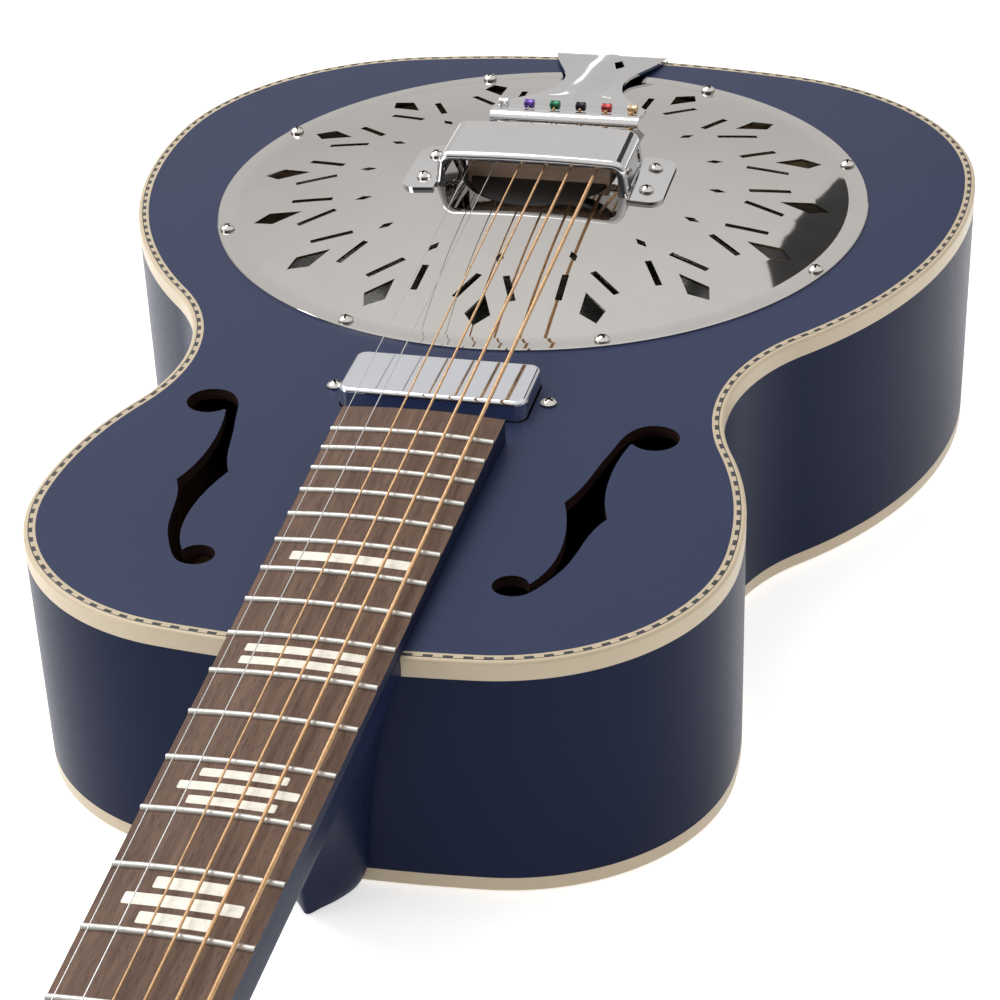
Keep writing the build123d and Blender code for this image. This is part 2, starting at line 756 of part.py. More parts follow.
def cover_screws():
    screws = []
    for k, (x, y) in enumerate(plate_screw_spots()):
        screw = Rot(0, 0, 37 * k) * pan_head_screw(11.9, 1.4, PLATE_HEAD_R)
        screws.append(Pos(x, y, PLATE_T) * screw)
    for k, spot in enumerate(rest_screw_locations()):
        screws.append(spot * Rot(0, 0, 53 * k) * pan_head_screw(7.0, 1.4, PLATE_HEAD_R))
    return screws


def rest_block(grow):
    """The hand rest as a solid block with rolled edges, grown or shrunk all round."""
    foot = REST_FOOT_W / 2 + grow
    shoulder = REST_W / 2 + grow
    top = REST_TOP_Z + grow
    edges = [
        Line(Vector(-foot, 0, 4), Vector(-shoulder, 0, top - REST_CROWN)),
        ThreePointArc(
            Vector(-shoulder, 0, top - REST_CROWN), Vector(0, 0, top),
            Vector(shoulder, 0, top - REST_CROWN)),
        Line(Vector(shoulder, 0, top - REST_CROWN), Vector(foot, 0, 4)),
        Line(Vector(foot, 0, 4), Vector(-foot, 0, 4)),
    ]
    block = extrude(make_face(Wire(edges)), amount=REST_L / 2 + grow, both=True)
    corners = block.edges().filter_by(Axis.Y).group_by(Axis.Z)[-1]
    block = fillet(corners, REST_CORNER_R + grow)
    end = REST_L / 2 + grow
    rims = [e for e in block.edges() if abs(abs(e.center().Y) - end) < 0.01 and e.center().Z > 4.5]
    return fillet(rims, REST_ROLL_R + grow)


def rest_panels():
    """The shallow panels pressed into both ends of the hand rest."""
    skin = extrude(Rectangle(200, REST_PANEL_L), amount=60) - rest_block(-REST_PANEL_D)
    frame = RectangleRounded(REST_PANEL_L, REST_PANEL_H, 2.5)
    frame = Plane.YZ * (Pos(0, REST_PANEL_Z) * frame)
    return skin & extrude(frame, amount=100, both=True)


def under_dome():
    ball = Pos(0, CENTRE_Y, DOME_TOP_Z - DOME_R) * Sphere(DOME_R)
    zone = Pos(0, 0, -10) * Box(140, 90, 60)
    return ball & zone


def hand_rest():
    dome = under_dome()
    shell = rest_block(0) - rest_block(-REST_T)
    window = Pos(0, 0, -4) * Box(
        2 * REST_WINDOW, 3 * REST_L, REST_LIP_Z + 4, align=(Align.CENTER, Align.CENTER, Align.MIN))
    window = fillet(window.edges().filter_by(Axis.Y).group_by(Axis.Z)[-1], 5.0)
    shell = shell - window - rest_panels()
    shell -= Box(2 * REST_FOOT_W, 2 * REST_L, 10)
    shell = Pos(0, REST_Y, 0) * shell
    flange = Pos(0, REST_Y, 0) * RectangleRounded(2 * FLANGE_X, FLANGE_L, 6.0)
    flange = Pos(0, 0, 5) * extrude(flange, amount=15)
    flange -= Pos(0, REST_Y, 0) * Box(REST_FOOT_W - 2 * REST_T - 0.4, 80, 80)
    cap = Pos(0, CENTRE_Y, DOME_TOP_Z - DOME_R) * Sphere(DOME_R + REST_T)
    flange = flange & cap
    rest = shell + flange - dome
    for spot in rest_screw_locations():
        rest -= spot * Cylinder(1.6, 8)
    return rest


# ---------------------------------------------------------------- pickup parts
def pickup_can(length, width, top, low, round_v, round_top):
    block = Pos(0, PICKUP_Y, low) * Box(
        length, width, top - low, align=(Align.CENTER, Align.CENTER, Align.MIN))
    block = fillet(block.edges().filter_by(Axis.Z), round_v)
    return fillet(block.faces().sort_by(Axis.Z)[-1].edges(), round_top)


def pickup_cover():
    outer = pickup_can(PICKUP_L, PICKUP_W, PICKUP_TOP, -PICKUP_DEEP, 4.0, 1.6)
    inner = pickup_can(PICKUP_L - 1.6, PICKUP_W - 1.6, PICKUP_TOP - 0.8, -PICKUP_DEEP - 5, 3.2, 0.8)
    return outer - inner


def pickup_bobbin():
    waist = Pos(0, PICKUP_Y, -0.7) * Box(52, 8, 12.4)
    upper = Pos(0, PICKUP_Y, 5.2) * Box(62, 25, 1.4)
    lower = Pos(0, PICKUP_Y, -6.6) * Box(62, 25, 1.4)
    bobbin = waist + upper + lower
    return bobbin


def pickup_coil():
    ring = Pos(0, PICKUP_Y, -0.7) * Box(60, 22, 10.3)
    ring = fillet(ring.edges().filter_by(Axis.Z), 6.0)
    return ring - Pos(0, PICKUP_Y, -0.7) * Box(52, 8, 30)


def pickup_baseplate():
    plate = Pos(0, PICKUP_Y, -8.0) * Box(
        PICKUP_L, PICKUP_W, 1.0, align=(Align.CENTER, Align.CENTER, Align.MAX))
    ears = Pos(0, PICKUP_Y, -8.0) * Box(86, 10, 1.0, align=(Align.CENTER, Align.CENTER, Align.MAX))
    plate += ears
    for x, y in pickup_screw_spots():
        plate -= through(x, y, 1.4)
    return plate


def pickup_screws():
    screws = []
    for k, (x, y) in enumerate(pickup_screw_spots()):
        screws.append(Pos(x, y, 0) * Rot(0, 0, 25 + 40 * k) * pan_head_screw(13.0, 1.4, 2.9))
    return screws


def pickup_lead():
    """The lead, glued under the top along the bass side from pickup to end jack."""
    path = Spline(
        (20, -144.7, -8.5), (22, -138, -7.6), (30, -131, -6.4), (50, -122.5, -6), (75, -112, -6),
        (98, -93.5, -6), (120, -64, -6), (134, -30, -6), (138, 3, -6), (134, 36, -6),
        (120, 70, -6), (98, 99.5, -6), (75, 118, -6.2), (58, 126.5, -8), (47, 129, -15),
        (39, 129, -28), (29, 124, -44), (16, 115, -57), (5, 114.5, -61.5), (0, 120.3, JACK_Z),
    )
    return sweep(Plane(path @ 0, z_dir=path % 0) * Circle(1.6), path=path)


# ---------------------------------------------------------------- neck parts
def board_half(v):
    return 0.5 * (NUT_W + (W_AT_12 - NUT_W) * (v + SCALE / 2) / (SCALE / 2))


def board_plan(v_low, v_high):
    corners = [
        (-board_half(v_low), v_low), (board_half(v_low), v_low),
        (board_half(v_high), v_high), (-board_half(v_high), v_high),
    ]
    return make_face(Polyline(*corners, close=True))


def camber_cylinder(extra):
    return Location((0, 0, -CAMBER_R), (-90, 0, 0)) * Cylinder(CAMBER_R + extra, 1400)


def fret_position(number):
    return SCALE / 2 - SCALE * 2 ** (-number / 12)


def fret_slot(number):
    """The thin slot a fret's tang is pressed into, following the camber."""
    v = fret_position(number)
    corners = [(-0.3, -1.6), (0.3, -1.6), (0.3, 0.6), (-0.3, 0.6)]
    face = make_face(Polyline(*[Vector(0, v + y, z) for y, z in corners], close=True))
    spine = Axis((0, 0, -CAMBER_R), (0, 1, 0))
    sweep_angle = math.degrees(2 * (board_half(v) - 0.15) / CAMBER_R)
    return revolve(face.rotate(spine, -sweep_angle / 2), spine, sweep_angle)


def fret_solid(number):
    v = fret_position(number)
    half = FRET_W / 2
    section = [
        Line(Vector(0, -0.3, -1.6), Vector(0, 0.3, -1.6)),
        Line(Vector(0, 0.3, -1.6), Vector(0, 0.3, 0)),
        Line(Vector(0, 0.3, 0), Vector(0, half, 0)),
        Line(Vector(0, half, 0), Vector(0, half, 0.25)),
        ThreePointArc(Vector(0, half, 0.25), Vector(0, 0, FRET_H), Vector(0, -half, 0.25)),
        Line(Vector(0, -half, 0.25), Vector(0, -half, 0)),
        Line(Vector(0, -half, 0), Vector(0, -0.3, 0)),
        Line(Vector(0, -0.3, 0), Vector(0, -0.3, -1.6)),
    ]
    face = Pos(0, v, 0) * make_face(Wire(section))
    spine = Axis((0, 0, -CAMBER_R), (0, 1, 0))
    sweep_angle = math.degrees(2 * (board_half(v) - 0.15) / CAMBER_R)
    return revolve(face.rotate(spine, -sweep_angle / 2), spine, sweep_angle)


def inlay_bars():
    """Position markers as (fret, bar width, gaps, lengths)."""
    groups = (
        (3, 4.9, 2.4, (16.0, 30.0, 16.0)),
        (5, 4.8, 2.4, (18.5, 32.0, 18.5)),
        (7, 4.7, 2.4, (20.5, 33.4, 20.5)),
        (9, 3.6, 2.5, (25.9, 35.2, 25.9)),
        (12, 3.8, 2.5, (37.1, 37.1)),
        (15, 4.7, 0.0, (38.9,)),
    )
    bars = []
    for fret, width, gap, lengths in groups:
        middle = (fret_position(fret) + fret_position(fret - 1)) / 2
        pitch = width + gap
        for k, length in enumerate(lengths):
            v = middle + (k - (len(lengths) - 1) / 2) * pitch
            bar = Pos(0, v, -1.4) * Box(length, width, 3, align=(Align.CENTER, Align.CENTER, Align.MIN))
            bars.append(fillet(bar.edges().filter_by(Axis.Z), 0.6))
    return bars


def board_blank():
    plan = board_plan(-SCALE / 2, BOARD_END)
    slab = Pos(0, 0, -BOARD_T) * extrude(plan, amount=BOARD_T + 1)
    return slab & camber_cylinder(0)


def fretboard(bars):
    board = board_blank()
    for number in range(1, FRETS + 1):
        board -= fret_slot(number)
    for bar in bars:
        board -= bar
    return NECK * board


def fretboard_extension():
    plan = board_plan(-SCALE / 2, BOARD_END - 0.4)
    wedge = NECK * (Pos(0, 0, -BOARD_T - 12) * extrude(plan, amount=12))
    return wedge & prism(0.3, 20, 0)


def neck_section(v, half, depth):
    top = -BOARD_T
    curve = Spline(
        Vector(-half, v, top), Vector(-half * 0.955, v, top - 0.36 * depth),
        Vector(-half * 0.62, v, top - 0.80 * depth), Vector(0, v, top - depth),
        Vector(half * 0.62, v, top - 0.80 * depth), Vector(half * 0.955, v, top - 0.36 * depth),
        Vector(half, v, top),
        tangents=[Vector(0, 0, -1), Vector(0, 0, 1)],
    )
    return make_face(Wire([curve, Line(Vector(half, v, top), Vector(-half, v, top))]))


def heel_section(z, half, reach, set_x, point):
    """One level of the heel: a rounded or pointed arch that reaches toward the nut."""
    points = []
    for step in range(-6, 7):
        angle = math.radians(15 * step)
        round_arch = math.cos(angle)
        straight_arch = 1 - abs(math.sin(angle))
        depth = reach * ((1 - point) * round_arch + point * straight_arch)
        points.append(Vector(set_x + half * math.sin(angle), -NECK_JOINT - depth, z))
    tip = Spline(points)
    return make_face(Wire([
        tip,
        Line(points[-1], Vector(set_x + half, -300, z)),
        Line(Vector(set_x + half, -300, z), Vector(set_x - half, -300, z)),
        Line(Vector(set_x - half, -300, z), points[0]),
    ]))


def headstock_face():
    right = [
        Vector(20.6, 4, 0), Vector(21.5, -2, 0), Vector(26.0, -16, 0), Vector(32.5, -27, 0),
        Vector(35.0, -40, 0), Vector(35.4, -80, 0), Vector(36.4, -125, 0), Vector(36.0, -150, 0),
        Vector(31.5, -164, 0),
    ]
    left = [Vector(-p.X, p.Y, 0) for p in reversed(right)]
    edges = [
        Spline(right),
        ThreePointArc(right[-1], Vector(0, -172, 0), left[0]),
        Spline(left),
        Line(left[-1], right[0]),
    ]
    return make_face(Wire(edges))


def post_locations():
    """Posts in string order: treble side on -X, then the bass side on +X."""
    spots = [(-POST_X, y) for y in POST_Y]
    spots += [(POST_X, y) for y in reversed(POST_Y)]
    return spots


def headstock_blank():
    blank = Pos(0, 0, -HEAD_T) * extrude(headstock_face(), amount=HEAD_T)
    behind_nut = Pos(0, -1.5, 0) * Box(120, 400, 60, align=(Align.CENTER, Align.MAX, Align.CENTER))
    root = Pos(0, 40, 0) * Box(41.2, 43.5, 60, align=(Align.CENTER, Align.MAX, Align.CENTER))
    return blank & (behind_nut + root)


def neck():
    sections = [
        neck_section(-345, 20.0, 15.0),
        neck_section(-SCALE / 2, board_half(-SCALE / 2), 15.5),
        neck_section(-200, board_half(-200), 16.6),
        neck_section(-90, board_half(-90), 17.6),
        neck_section(20, board_half(0) + 0.4, 18.4),
    ]
    shaft = loft(sections)
    shaft = NECK * shaft
    heel = loft([heel_section(*row) for row in HEEL_SHAPE])
    solid = shaft + heel
    head = HEAD * headstock_blank()
    above = NECK * (Pos(0, -400, -BOARD_T) * Box(
        100, 1000, 60, align=(Align.CENTER, Align.CENTER, Align.MIN)))
    over_head = HEAD * Box(120, 200, 60, align=(Align.CENTER, Align.MAX, Align.MIN))
    solid = solid - over_head + head - above
    solid -= prism(0, 20, -130)
    solid -= NECK * truss_channel()
    for x, y in post_locations():
        solid -= HEAD * (Pos(x, y, 0) * Cylinder(4.0, 60))
    for spot in head_screw_spots():
        solid -= HEAD * (spot * Cylinder(1.0, 12, align=(Align.CENTER, Align.CENTER, Align.MAX)))
    for z in BOLT_Z:
        solid -= along_y(0, z, 3.0, -340, -200)
    return solid


def truss_channel():
    return Pos(0, -166, -BOARD_T) * Box(6.2, 318, 9.2, align=(Align.CENTER, Align.CENTER, Align.MAX))


def truss_rod():
    bar = Pos(0, -166, -BOARD_T) * Box(6.0, 317, 9.0, align=(Align.CENTER, Align.CENTER, Align.MAX))
    return NECK * bar


def neck_bolts():
    bolts = []
    for z in BOLT_Z:
        shank = along_y(0, z, 3.0, -338, NECK_BLOCK_Y)
        head = along_y(0, z, 5.0, NECK_BLOCK_Y, NECK_BLOCK_Y + 5)
        key = Location((0, NECK_BLOCK_Y + 2, z), (-90, 0, 0)) * extrude(RegularPolygon(2.5, 6), amount=4)
        bolts.append(shank + head - key)
    return bolts


def nut(strings):
    v = -SCALE / 2
    blank = Pos(0, v, -BOARD_T) * Box(NUT_W, NUT_T, BOARD_T + 2.6, align=(Align.CENTER, Align.MAX, Align.MIN))
    crown = Location((0, v - 2, 2.1 - CAMBER_R), (-90, 0, 0)) * Cylinder(CAMBER_R, 40)
    block = NECK * (blank & crown)
    for item in strings:
        block -= item
    return block


# ---------------------------------------------------------------- headstock parts
def headstock_overlay():
    sheet = extrude(headstock_face(), amount=OVERLAY_T)
    zone = Pos(0, -0.4, 0) * Box(120, 400, 60, align=(Align.CENTER, Align.MAX, Align.CENTER))
    sheet = sheet & zone
    for x, y in post_locations():
        sheet -= Pos(x, y, 0) * Cylinder(4.0, 60)
    for spot in cover_screw_spots():
        sheet -= spot * Cylinder(1.0, 12)
    return HEAD * sheet


def cover_screw_spots():
    return [Pos(0, -10.5, OVERLAY_T + 1.6), Pos(0, -33.5, OVERLAY_T + 1.6)]


def truss_rod_cover():
    points = [(-7, -5), (7, -5), (8.5, -14), (3.6, -37), (-3.6, -37), (-8.5, -14)]
    sheet = Pos(0, 0, OVERLAY_T) * extrude(make_face(Polyline(*points, close=True)), amount=1.6)
    sheet = fillet(sheet.edges().filter_by(Axis.Z), 1.5)
    for spot in cover_screw_spots():
        sheet -= spot * Cylinder(1.0, 12)
    return HEAD * sheet


def plate_screw_places():
    return [(16.5, -28.5), (30.0, -58.0), (30.0, -98.0), (16.5, -134.5)]


def head_screw_spots():
    """Back-of-head screws point up, so each frame is flipped."""
    spots = []
    for x, y in plate_screw_places():
        for side in (-1, 1):
            spots.append(Location((side * x, y, -HEAD_T - PLATE_BACK_T), (180, 0, 0)))
    return spots + cover_screw_spots()


def headstock_screws():
    return [HEAD * (spot * pan_head_screw(8.0, 1.0, 2.3)) for spot in head_screw_spots()]


def worm_axis(y):
    return y - WORM_DROP


def tuner_plate():
    plate = Pos(22.5, -81, -HEAD_T - PLATE_BACK_T) * Box(
        20, 116, PLATE_BACK_T, align=(Align.CENTER, Align.CENTER, Align.MIN))
    plate = fillet(plate.edges().filter_by(Axis.Z), 4.0)
    for y in POST_Y:
        for x in (17.2, 31.0):
            lug = Pos(x, worm_axis(y), -HEAD_T - PLATE_BACK_T) * Box(
                2.4, 7.6, 7.2, align=(Align.CENTER, Align.CENTER, Align.MAX))
            plate += lug
        bore = Location((24, worm_axis(y), WORM_Z), (0, 90, 0)) * Cylinder(WORM_CORE + RUN, 30)
        plate -= bore
        plate -= Pos(POST_X, y, -HEAD_T) * Cylinder(POST_R + RUN, 10)
    for x, y in plate_screw_places():
        plate -= Pos(x, y, -HEAD_T) * Cylinder(1.0, 10)
    return plate


def tuner_plates():
    plate = tuner_plate()
    return [HEAD * mirrored(plate), HEAD * plate]


def tuner_bushings():
    sleeve = Pos(0, 0, -6) * Cylinder(4.0, 6 + OVERLAY_T, align=(Align.CENTER, Align.CENTER, Align.MIN))
    flange = Pos(0, 0, OVERLAY_T) * Cylinder(6.5, 1.4, align=(Align.CENTER, Align.CENTER, Align.MIN))
    flange = chamfer(flange.edges().group_by(Axis.Z)[-1], 0.7)
    bush = sleeve + flange - Cylinder(POST_R + RUN, 60)
    return [HEAD * (Pos(x, y, 0) * bush) for x, y in post_locations()]


def gear():
    low = WORM_Z - GEAR_T / 2
    disc = Pos(0, 0, low) * Cylinder(GEAR_ROOT, GEAR_T, align=(Align.CENTER, Align.CENTER, Align.MIN))
    tooth = Polyline((GEAR_ROOT - 0.5, -0.62), (GEAR_TIP, -0.3), (GEAR_TIP, 0.3), (GEAR_ROOT - 0.5, 0.62), close=True)
    tooth = Pos(0, 0, low) * extrude(make_face(tooth), amount=GEAR_T)
    for k in range(GEAR_TEETH):
        disc += Rot(0, 0, -90 + k * 360 / GEAR_TEETH) * tooth
    return disc


def tuner_post():
    low = WORM_Z + GEAR_T / 2
    shaft = Pos(0, 0, low) * Cylinder(POST_R, POST_TOP - low, align=(Align.CENTER, Align.CENTER, Align.MIN))
    shaft = chamfer(shaft.edges().group_by(Axis.Z)[-1], 0.5)
    shaft -= Location((0, 0, 11.6), (0, 90, 0)) * Cylinder(0.9, 20)
    screw = Pos(0, 0, WORM_Z - GEAR_T / 2) * Cylinder(2.6, 1.4, align=(Align.CENTER, Align.CENTER, Align.MAX))
    screw -= Pos(0, 0, WORM_Z - GEAR_T / 2 - 1.4) * Box(8, 0.8, 1.2)
    return [shaft, gear(), screw]


def worm():
    """A right-hand worm about X whose thread gap faces +Y at X = POST_X."""
    core = Location((15.6, 0, 0), (0, 90, 0)) * Cylinder(
        WORM_CORE, 33.0, align=(Align.CENTER, Align.CENTER, Align.MIN))
    helix = Helix(pitch=WORM_PITCH, height=WORM_L, radius=WORM_CORE)
    start = helix @ 0
    root = 0.55
    crest = 0.26
    points = [
        Vector(start.X - 0.15, 0, -root), Vector(start.X + WORM_CREST - WORM_CORE, 0, -crest),
        Vector(start.X + WORM_CREST - WORM_CORE, 0, crest), Vector(start.X - 0.15, 0, root),
    ]
    section = make_face(Polyline(*points, close=True))
    thread = sweep(section, path=helix, is_frenet=True)
    # The helix starts on its own +X side; turned onto the X axis, that side is -Z.
    thread = Rot(0, 90, 0) * thread
    turns_to_mesh = 0.25
    shift = -WORM_L / 2 + WORM_PITCH * 0.5
    whole = math.floor((WORM_L / 2) / WORM_PITCH)
    offset = POST_X - (whole + 0.5 + turns_to_mesh) * WORM_PITCH
    return core, thread, offset


def worm_shaft():
    core, thread, offset = worm()
    zone = Location((POST_X, 0, 0), (0, 90, 0)) * Cylinder(WORM_CREST + 1, WORM_L)
    thread = Pos(offset, 0, 0) * thread
    return core + (thread & zone)


def tuner_button():
    body = Pos(52.0, 0, 0) * Box(10.5, 17.0, 8.4)
    body = fillet(body.edges().filter_by(Axis.X), 4.0)
    body = fillet(body.faces().sort_by(Axis.X)[-1].edges(), 2.0)
    neck_part = Location((43.6, 0, 0), (0, 90, 0)) * Cylinder(3.4, 3.4, align=(Align.CENTER, Align.CENTER, Align.MIN))
    bore = Location((40, 0, 0), (0, 90, 0)) * Cylinder(WORM_CORE, 8.6, align=(Align.CENTER, Align.CENTER, Align.MIN))
    return body + neck_part - bore


# ---------------------------------------------------------------- strings
def string_solid(index):
    radius = STRING_R[index]
    nut_end, saddle_end = string_line(index)
    ball = ball_spot(index)
    under = Vector(ball.X, TP_FRONT_Y, TP_LIP_Z - radius - 0.2)
    behind = under + Vector(0, 2.3, 0)
    hook = Vector(ball.X, 54.0, 12.6)
    knot = Vector(ball.X, ball.Y - 2.0 - radius, ball.Z - 0.2)
    x, y = post_locations()[index]
    inward = 1 if x < 0 else -1
    coil_r = POST_R + 0.15 + radius
    coil_z = 6.6
    tangent_point = (HEAD * Pos(x + inward * coil_r, y, coil_z)).position
    corners = [knot, hook, behind, under, saddle_end, nut_end, tangent_point]
    solid = None
    for start, end in zip(corners, corners[1:]):
        piece = rod(start, end, radius)
        solid = piece if solid is None else solid + piece
    for joint in corners[1:-1]:
        solid += Pos(joint.X, joint.Y, joint.Z) * Sphere(radius)
    coil = Cylinder(POST_R + 0.15 + 2 * radius, 7 * radius) - Cylinder(POST_R + 0.15, 40)
    solid += HEAD * (Pos(x, y, coil_z) * coil)
    return solid


def build():
    os.makedirs("parts", exist_ok=True)
    strings = [string_solid(index) for index in range(6)]
    frets = [fret_solid(number) for number in range(1, FRETS + 1)]
    bars = inlay_bars()
    blank = board_blank()

    save("top_plate", top_plate())
    save("back_plate", back_plate())
    save("side_rim", side_rim())
    save("top_binding", top_binding())
    save("top_purfling", top_purfling())
    save("back_binding", back_binding())
    save("linings", linings())
    save("neck_block", neck_block())
    save("tail_block", tail_block())
    save("soundwell", soundwell())

    save("resonator_cone", resonator_cone())
    save("biscuit", biscuit())
    save("biscuit_screw", biscuit_screw())
    save("saddle", saddle(strings))
    save("coverplate", coverplate())
    save("cover_screws", cover_screws())
    save("hand_rest", hand_rest())
    save("tailpiece", tailpiece())
    save("tailpiece_screws", tailpiece_screws())
    save("end_pin_jack", end_pin_jack())

    save("pickup_cover", pickup_cover())
    save("pickup_bobbin", pickup_bobbin())
    save("pickup_coil", pickup_coil())
    save("pickup_baseplate", pickup_baseplate())
    save("pickup_screws", pickup_screws())
    save("pickup_lead", pickup_lead())

    save("neck", neck())
    save("truss_rod", truss_rod())
    save("neck_bolts", neck_bolts())
    save("fretboard", fretboard(bars))
    save("fretboard_extension", fretboard_extension())
    save("frets", [NECK * fret for fret in frets])
    save("fret_markers", [NECK * (bar & blank) for bar in bars])
    save("nut", nut(strings))

    save("headstock_overlay", headstock_overlay())
    save("truss_rod_cover", truss_rod_cover())
    save("headstock_screws", headstock_screws())
    save("tuner_plates", tuner_plates())
    save("tuner_bushings", tuner_bushings())
    save("plain_strings", strings[:2])
    save("wound_strings", strings[2:])
    save("ball_ends", ball_ends())

    post = tuner_post()
    shaft = worm_shaft()
    button = tuner_button()
    for index, (x, y) in enumerate(post_locations()):
        number = str(index + 1)
        save("tuner_post_" + number, [HEAD * (Pos(x, y, 0) * piece) for piece in post])
        spot = Pos(0, worm_axis(y), WORM_Z)
        worm_piece = mirrored(shaft) if x < 0 else shaft
        button_piece = mirrored(button) if x < 0 else button
        save("tuner_shaft_" + number, HEAD * (spot * worm_piece))
        save("tuner_button_" + number, HEAD * (spot * button_piece))


build()
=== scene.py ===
import json
import math

import bmesh
import bpy
from mathutils import Matrix, Vector


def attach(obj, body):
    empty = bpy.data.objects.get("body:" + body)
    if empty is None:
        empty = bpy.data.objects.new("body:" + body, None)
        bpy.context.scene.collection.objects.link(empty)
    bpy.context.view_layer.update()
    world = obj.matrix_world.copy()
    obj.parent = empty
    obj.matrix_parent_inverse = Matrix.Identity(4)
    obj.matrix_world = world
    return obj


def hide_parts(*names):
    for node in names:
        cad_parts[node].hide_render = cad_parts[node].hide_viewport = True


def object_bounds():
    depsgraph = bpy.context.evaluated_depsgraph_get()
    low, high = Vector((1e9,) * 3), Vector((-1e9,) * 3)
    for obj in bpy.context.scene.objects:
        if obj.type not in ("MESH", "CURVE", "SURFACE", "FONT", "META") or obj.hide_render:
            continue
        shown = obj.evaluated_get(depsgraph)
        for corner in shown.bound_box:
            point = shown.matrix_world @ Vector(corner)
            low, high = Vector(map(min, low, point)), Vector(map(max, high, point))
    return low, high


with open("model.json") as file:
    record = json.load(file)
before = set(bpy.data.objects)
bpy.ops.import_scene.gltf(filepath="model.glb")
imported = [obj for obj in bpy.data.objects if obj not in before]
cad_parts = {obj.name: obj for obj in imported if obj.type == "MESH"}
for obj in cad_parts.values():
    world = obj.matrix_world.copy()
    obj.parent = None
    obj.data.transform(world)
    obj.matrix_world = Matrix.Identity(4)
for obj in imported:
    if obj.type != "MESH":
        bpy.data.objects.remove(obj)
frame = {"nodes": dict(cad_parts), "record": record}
CAD_BOX = [list(corner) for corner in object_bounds()]
NODES = frame["nodes"]
ROOT = "guitar"

# ------------------------------------------------------------------ frames
# Lengths are in millimetres in the guitar's own frames: X to the bass side, Y to the
# tail, Z outwards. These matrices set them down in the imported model's frame, in metres.
BACK_TAPER = 0.04
TILT = math.atan(BACK_TAPER)
DEPTH = 99.8
TAIL_Y = 151.0
CENTRE_Y = 3.0
SCALE = 645.16
NECK_X = 1.46
NECK_TILT = math.atan(0.03)
BOARD_TOP_Z = 5.96
BOARD_T = 5.0
NUT_T = 5.0
HEAD_TILT = math.radians(12)
# TOP is the top's outer face, NECK the board's face at fret 12, HEAD the headstock's face.
TOP = (Matrix.Translation((0, 0, DEPTH * math.cos(TILT) / 1000))
       @ Matrix.Rotation(TILT, 4, "X") @ Matrix.Scale(0.001, 4))
NECK = (TOP @ Matrix.Translation((NECK_X, -SCALE / 2, BOARD_TOP_Z))
        @ Matrix.Rotation(NECK_TILT, 4, "X"))
HEAD = (NECK @ Matrix.Translation((0, -SCALE / 2 - NUT_T, -BOARD_T))
        @ Matrix.Rotation(HEAD_TILT, 4, "X"))

# ------------------------------------------------------------------ colours
NAVY = (0.015, 0.0235, 0.066)
# The darker navy below is the navy with painted shade, used for the sides, neck, headstock and the
# board's edges.
NAVY_SHADED = (0.0085, 0.0135, 0.038)
CREAM = (0.50, 0.41, 0.285)
# Cut edges of the top, such as the f-hole walls: wood tone darkened nearly to black with painted shade.
CUT_WOOD_AND_SHADE = (0.022, 0.012, 0.010)
SILVER = (0.66, 0.655, 0.655)
BALL_COLORS = (
    ("silver", (0.75, 0.75, 0.74)),
    ("purple", (0.15, 0.08, 0.34)),
    ("green", (0.035, 0.16, 0.09)),
    ("black", (0.03, 0.03, 0.035)),
    ("red", (0.42, 0.07, 0.07)),
    ("brass", (0.66, 0.50, 0.30)),
)

# ------------------------------------------------------------------ material tools


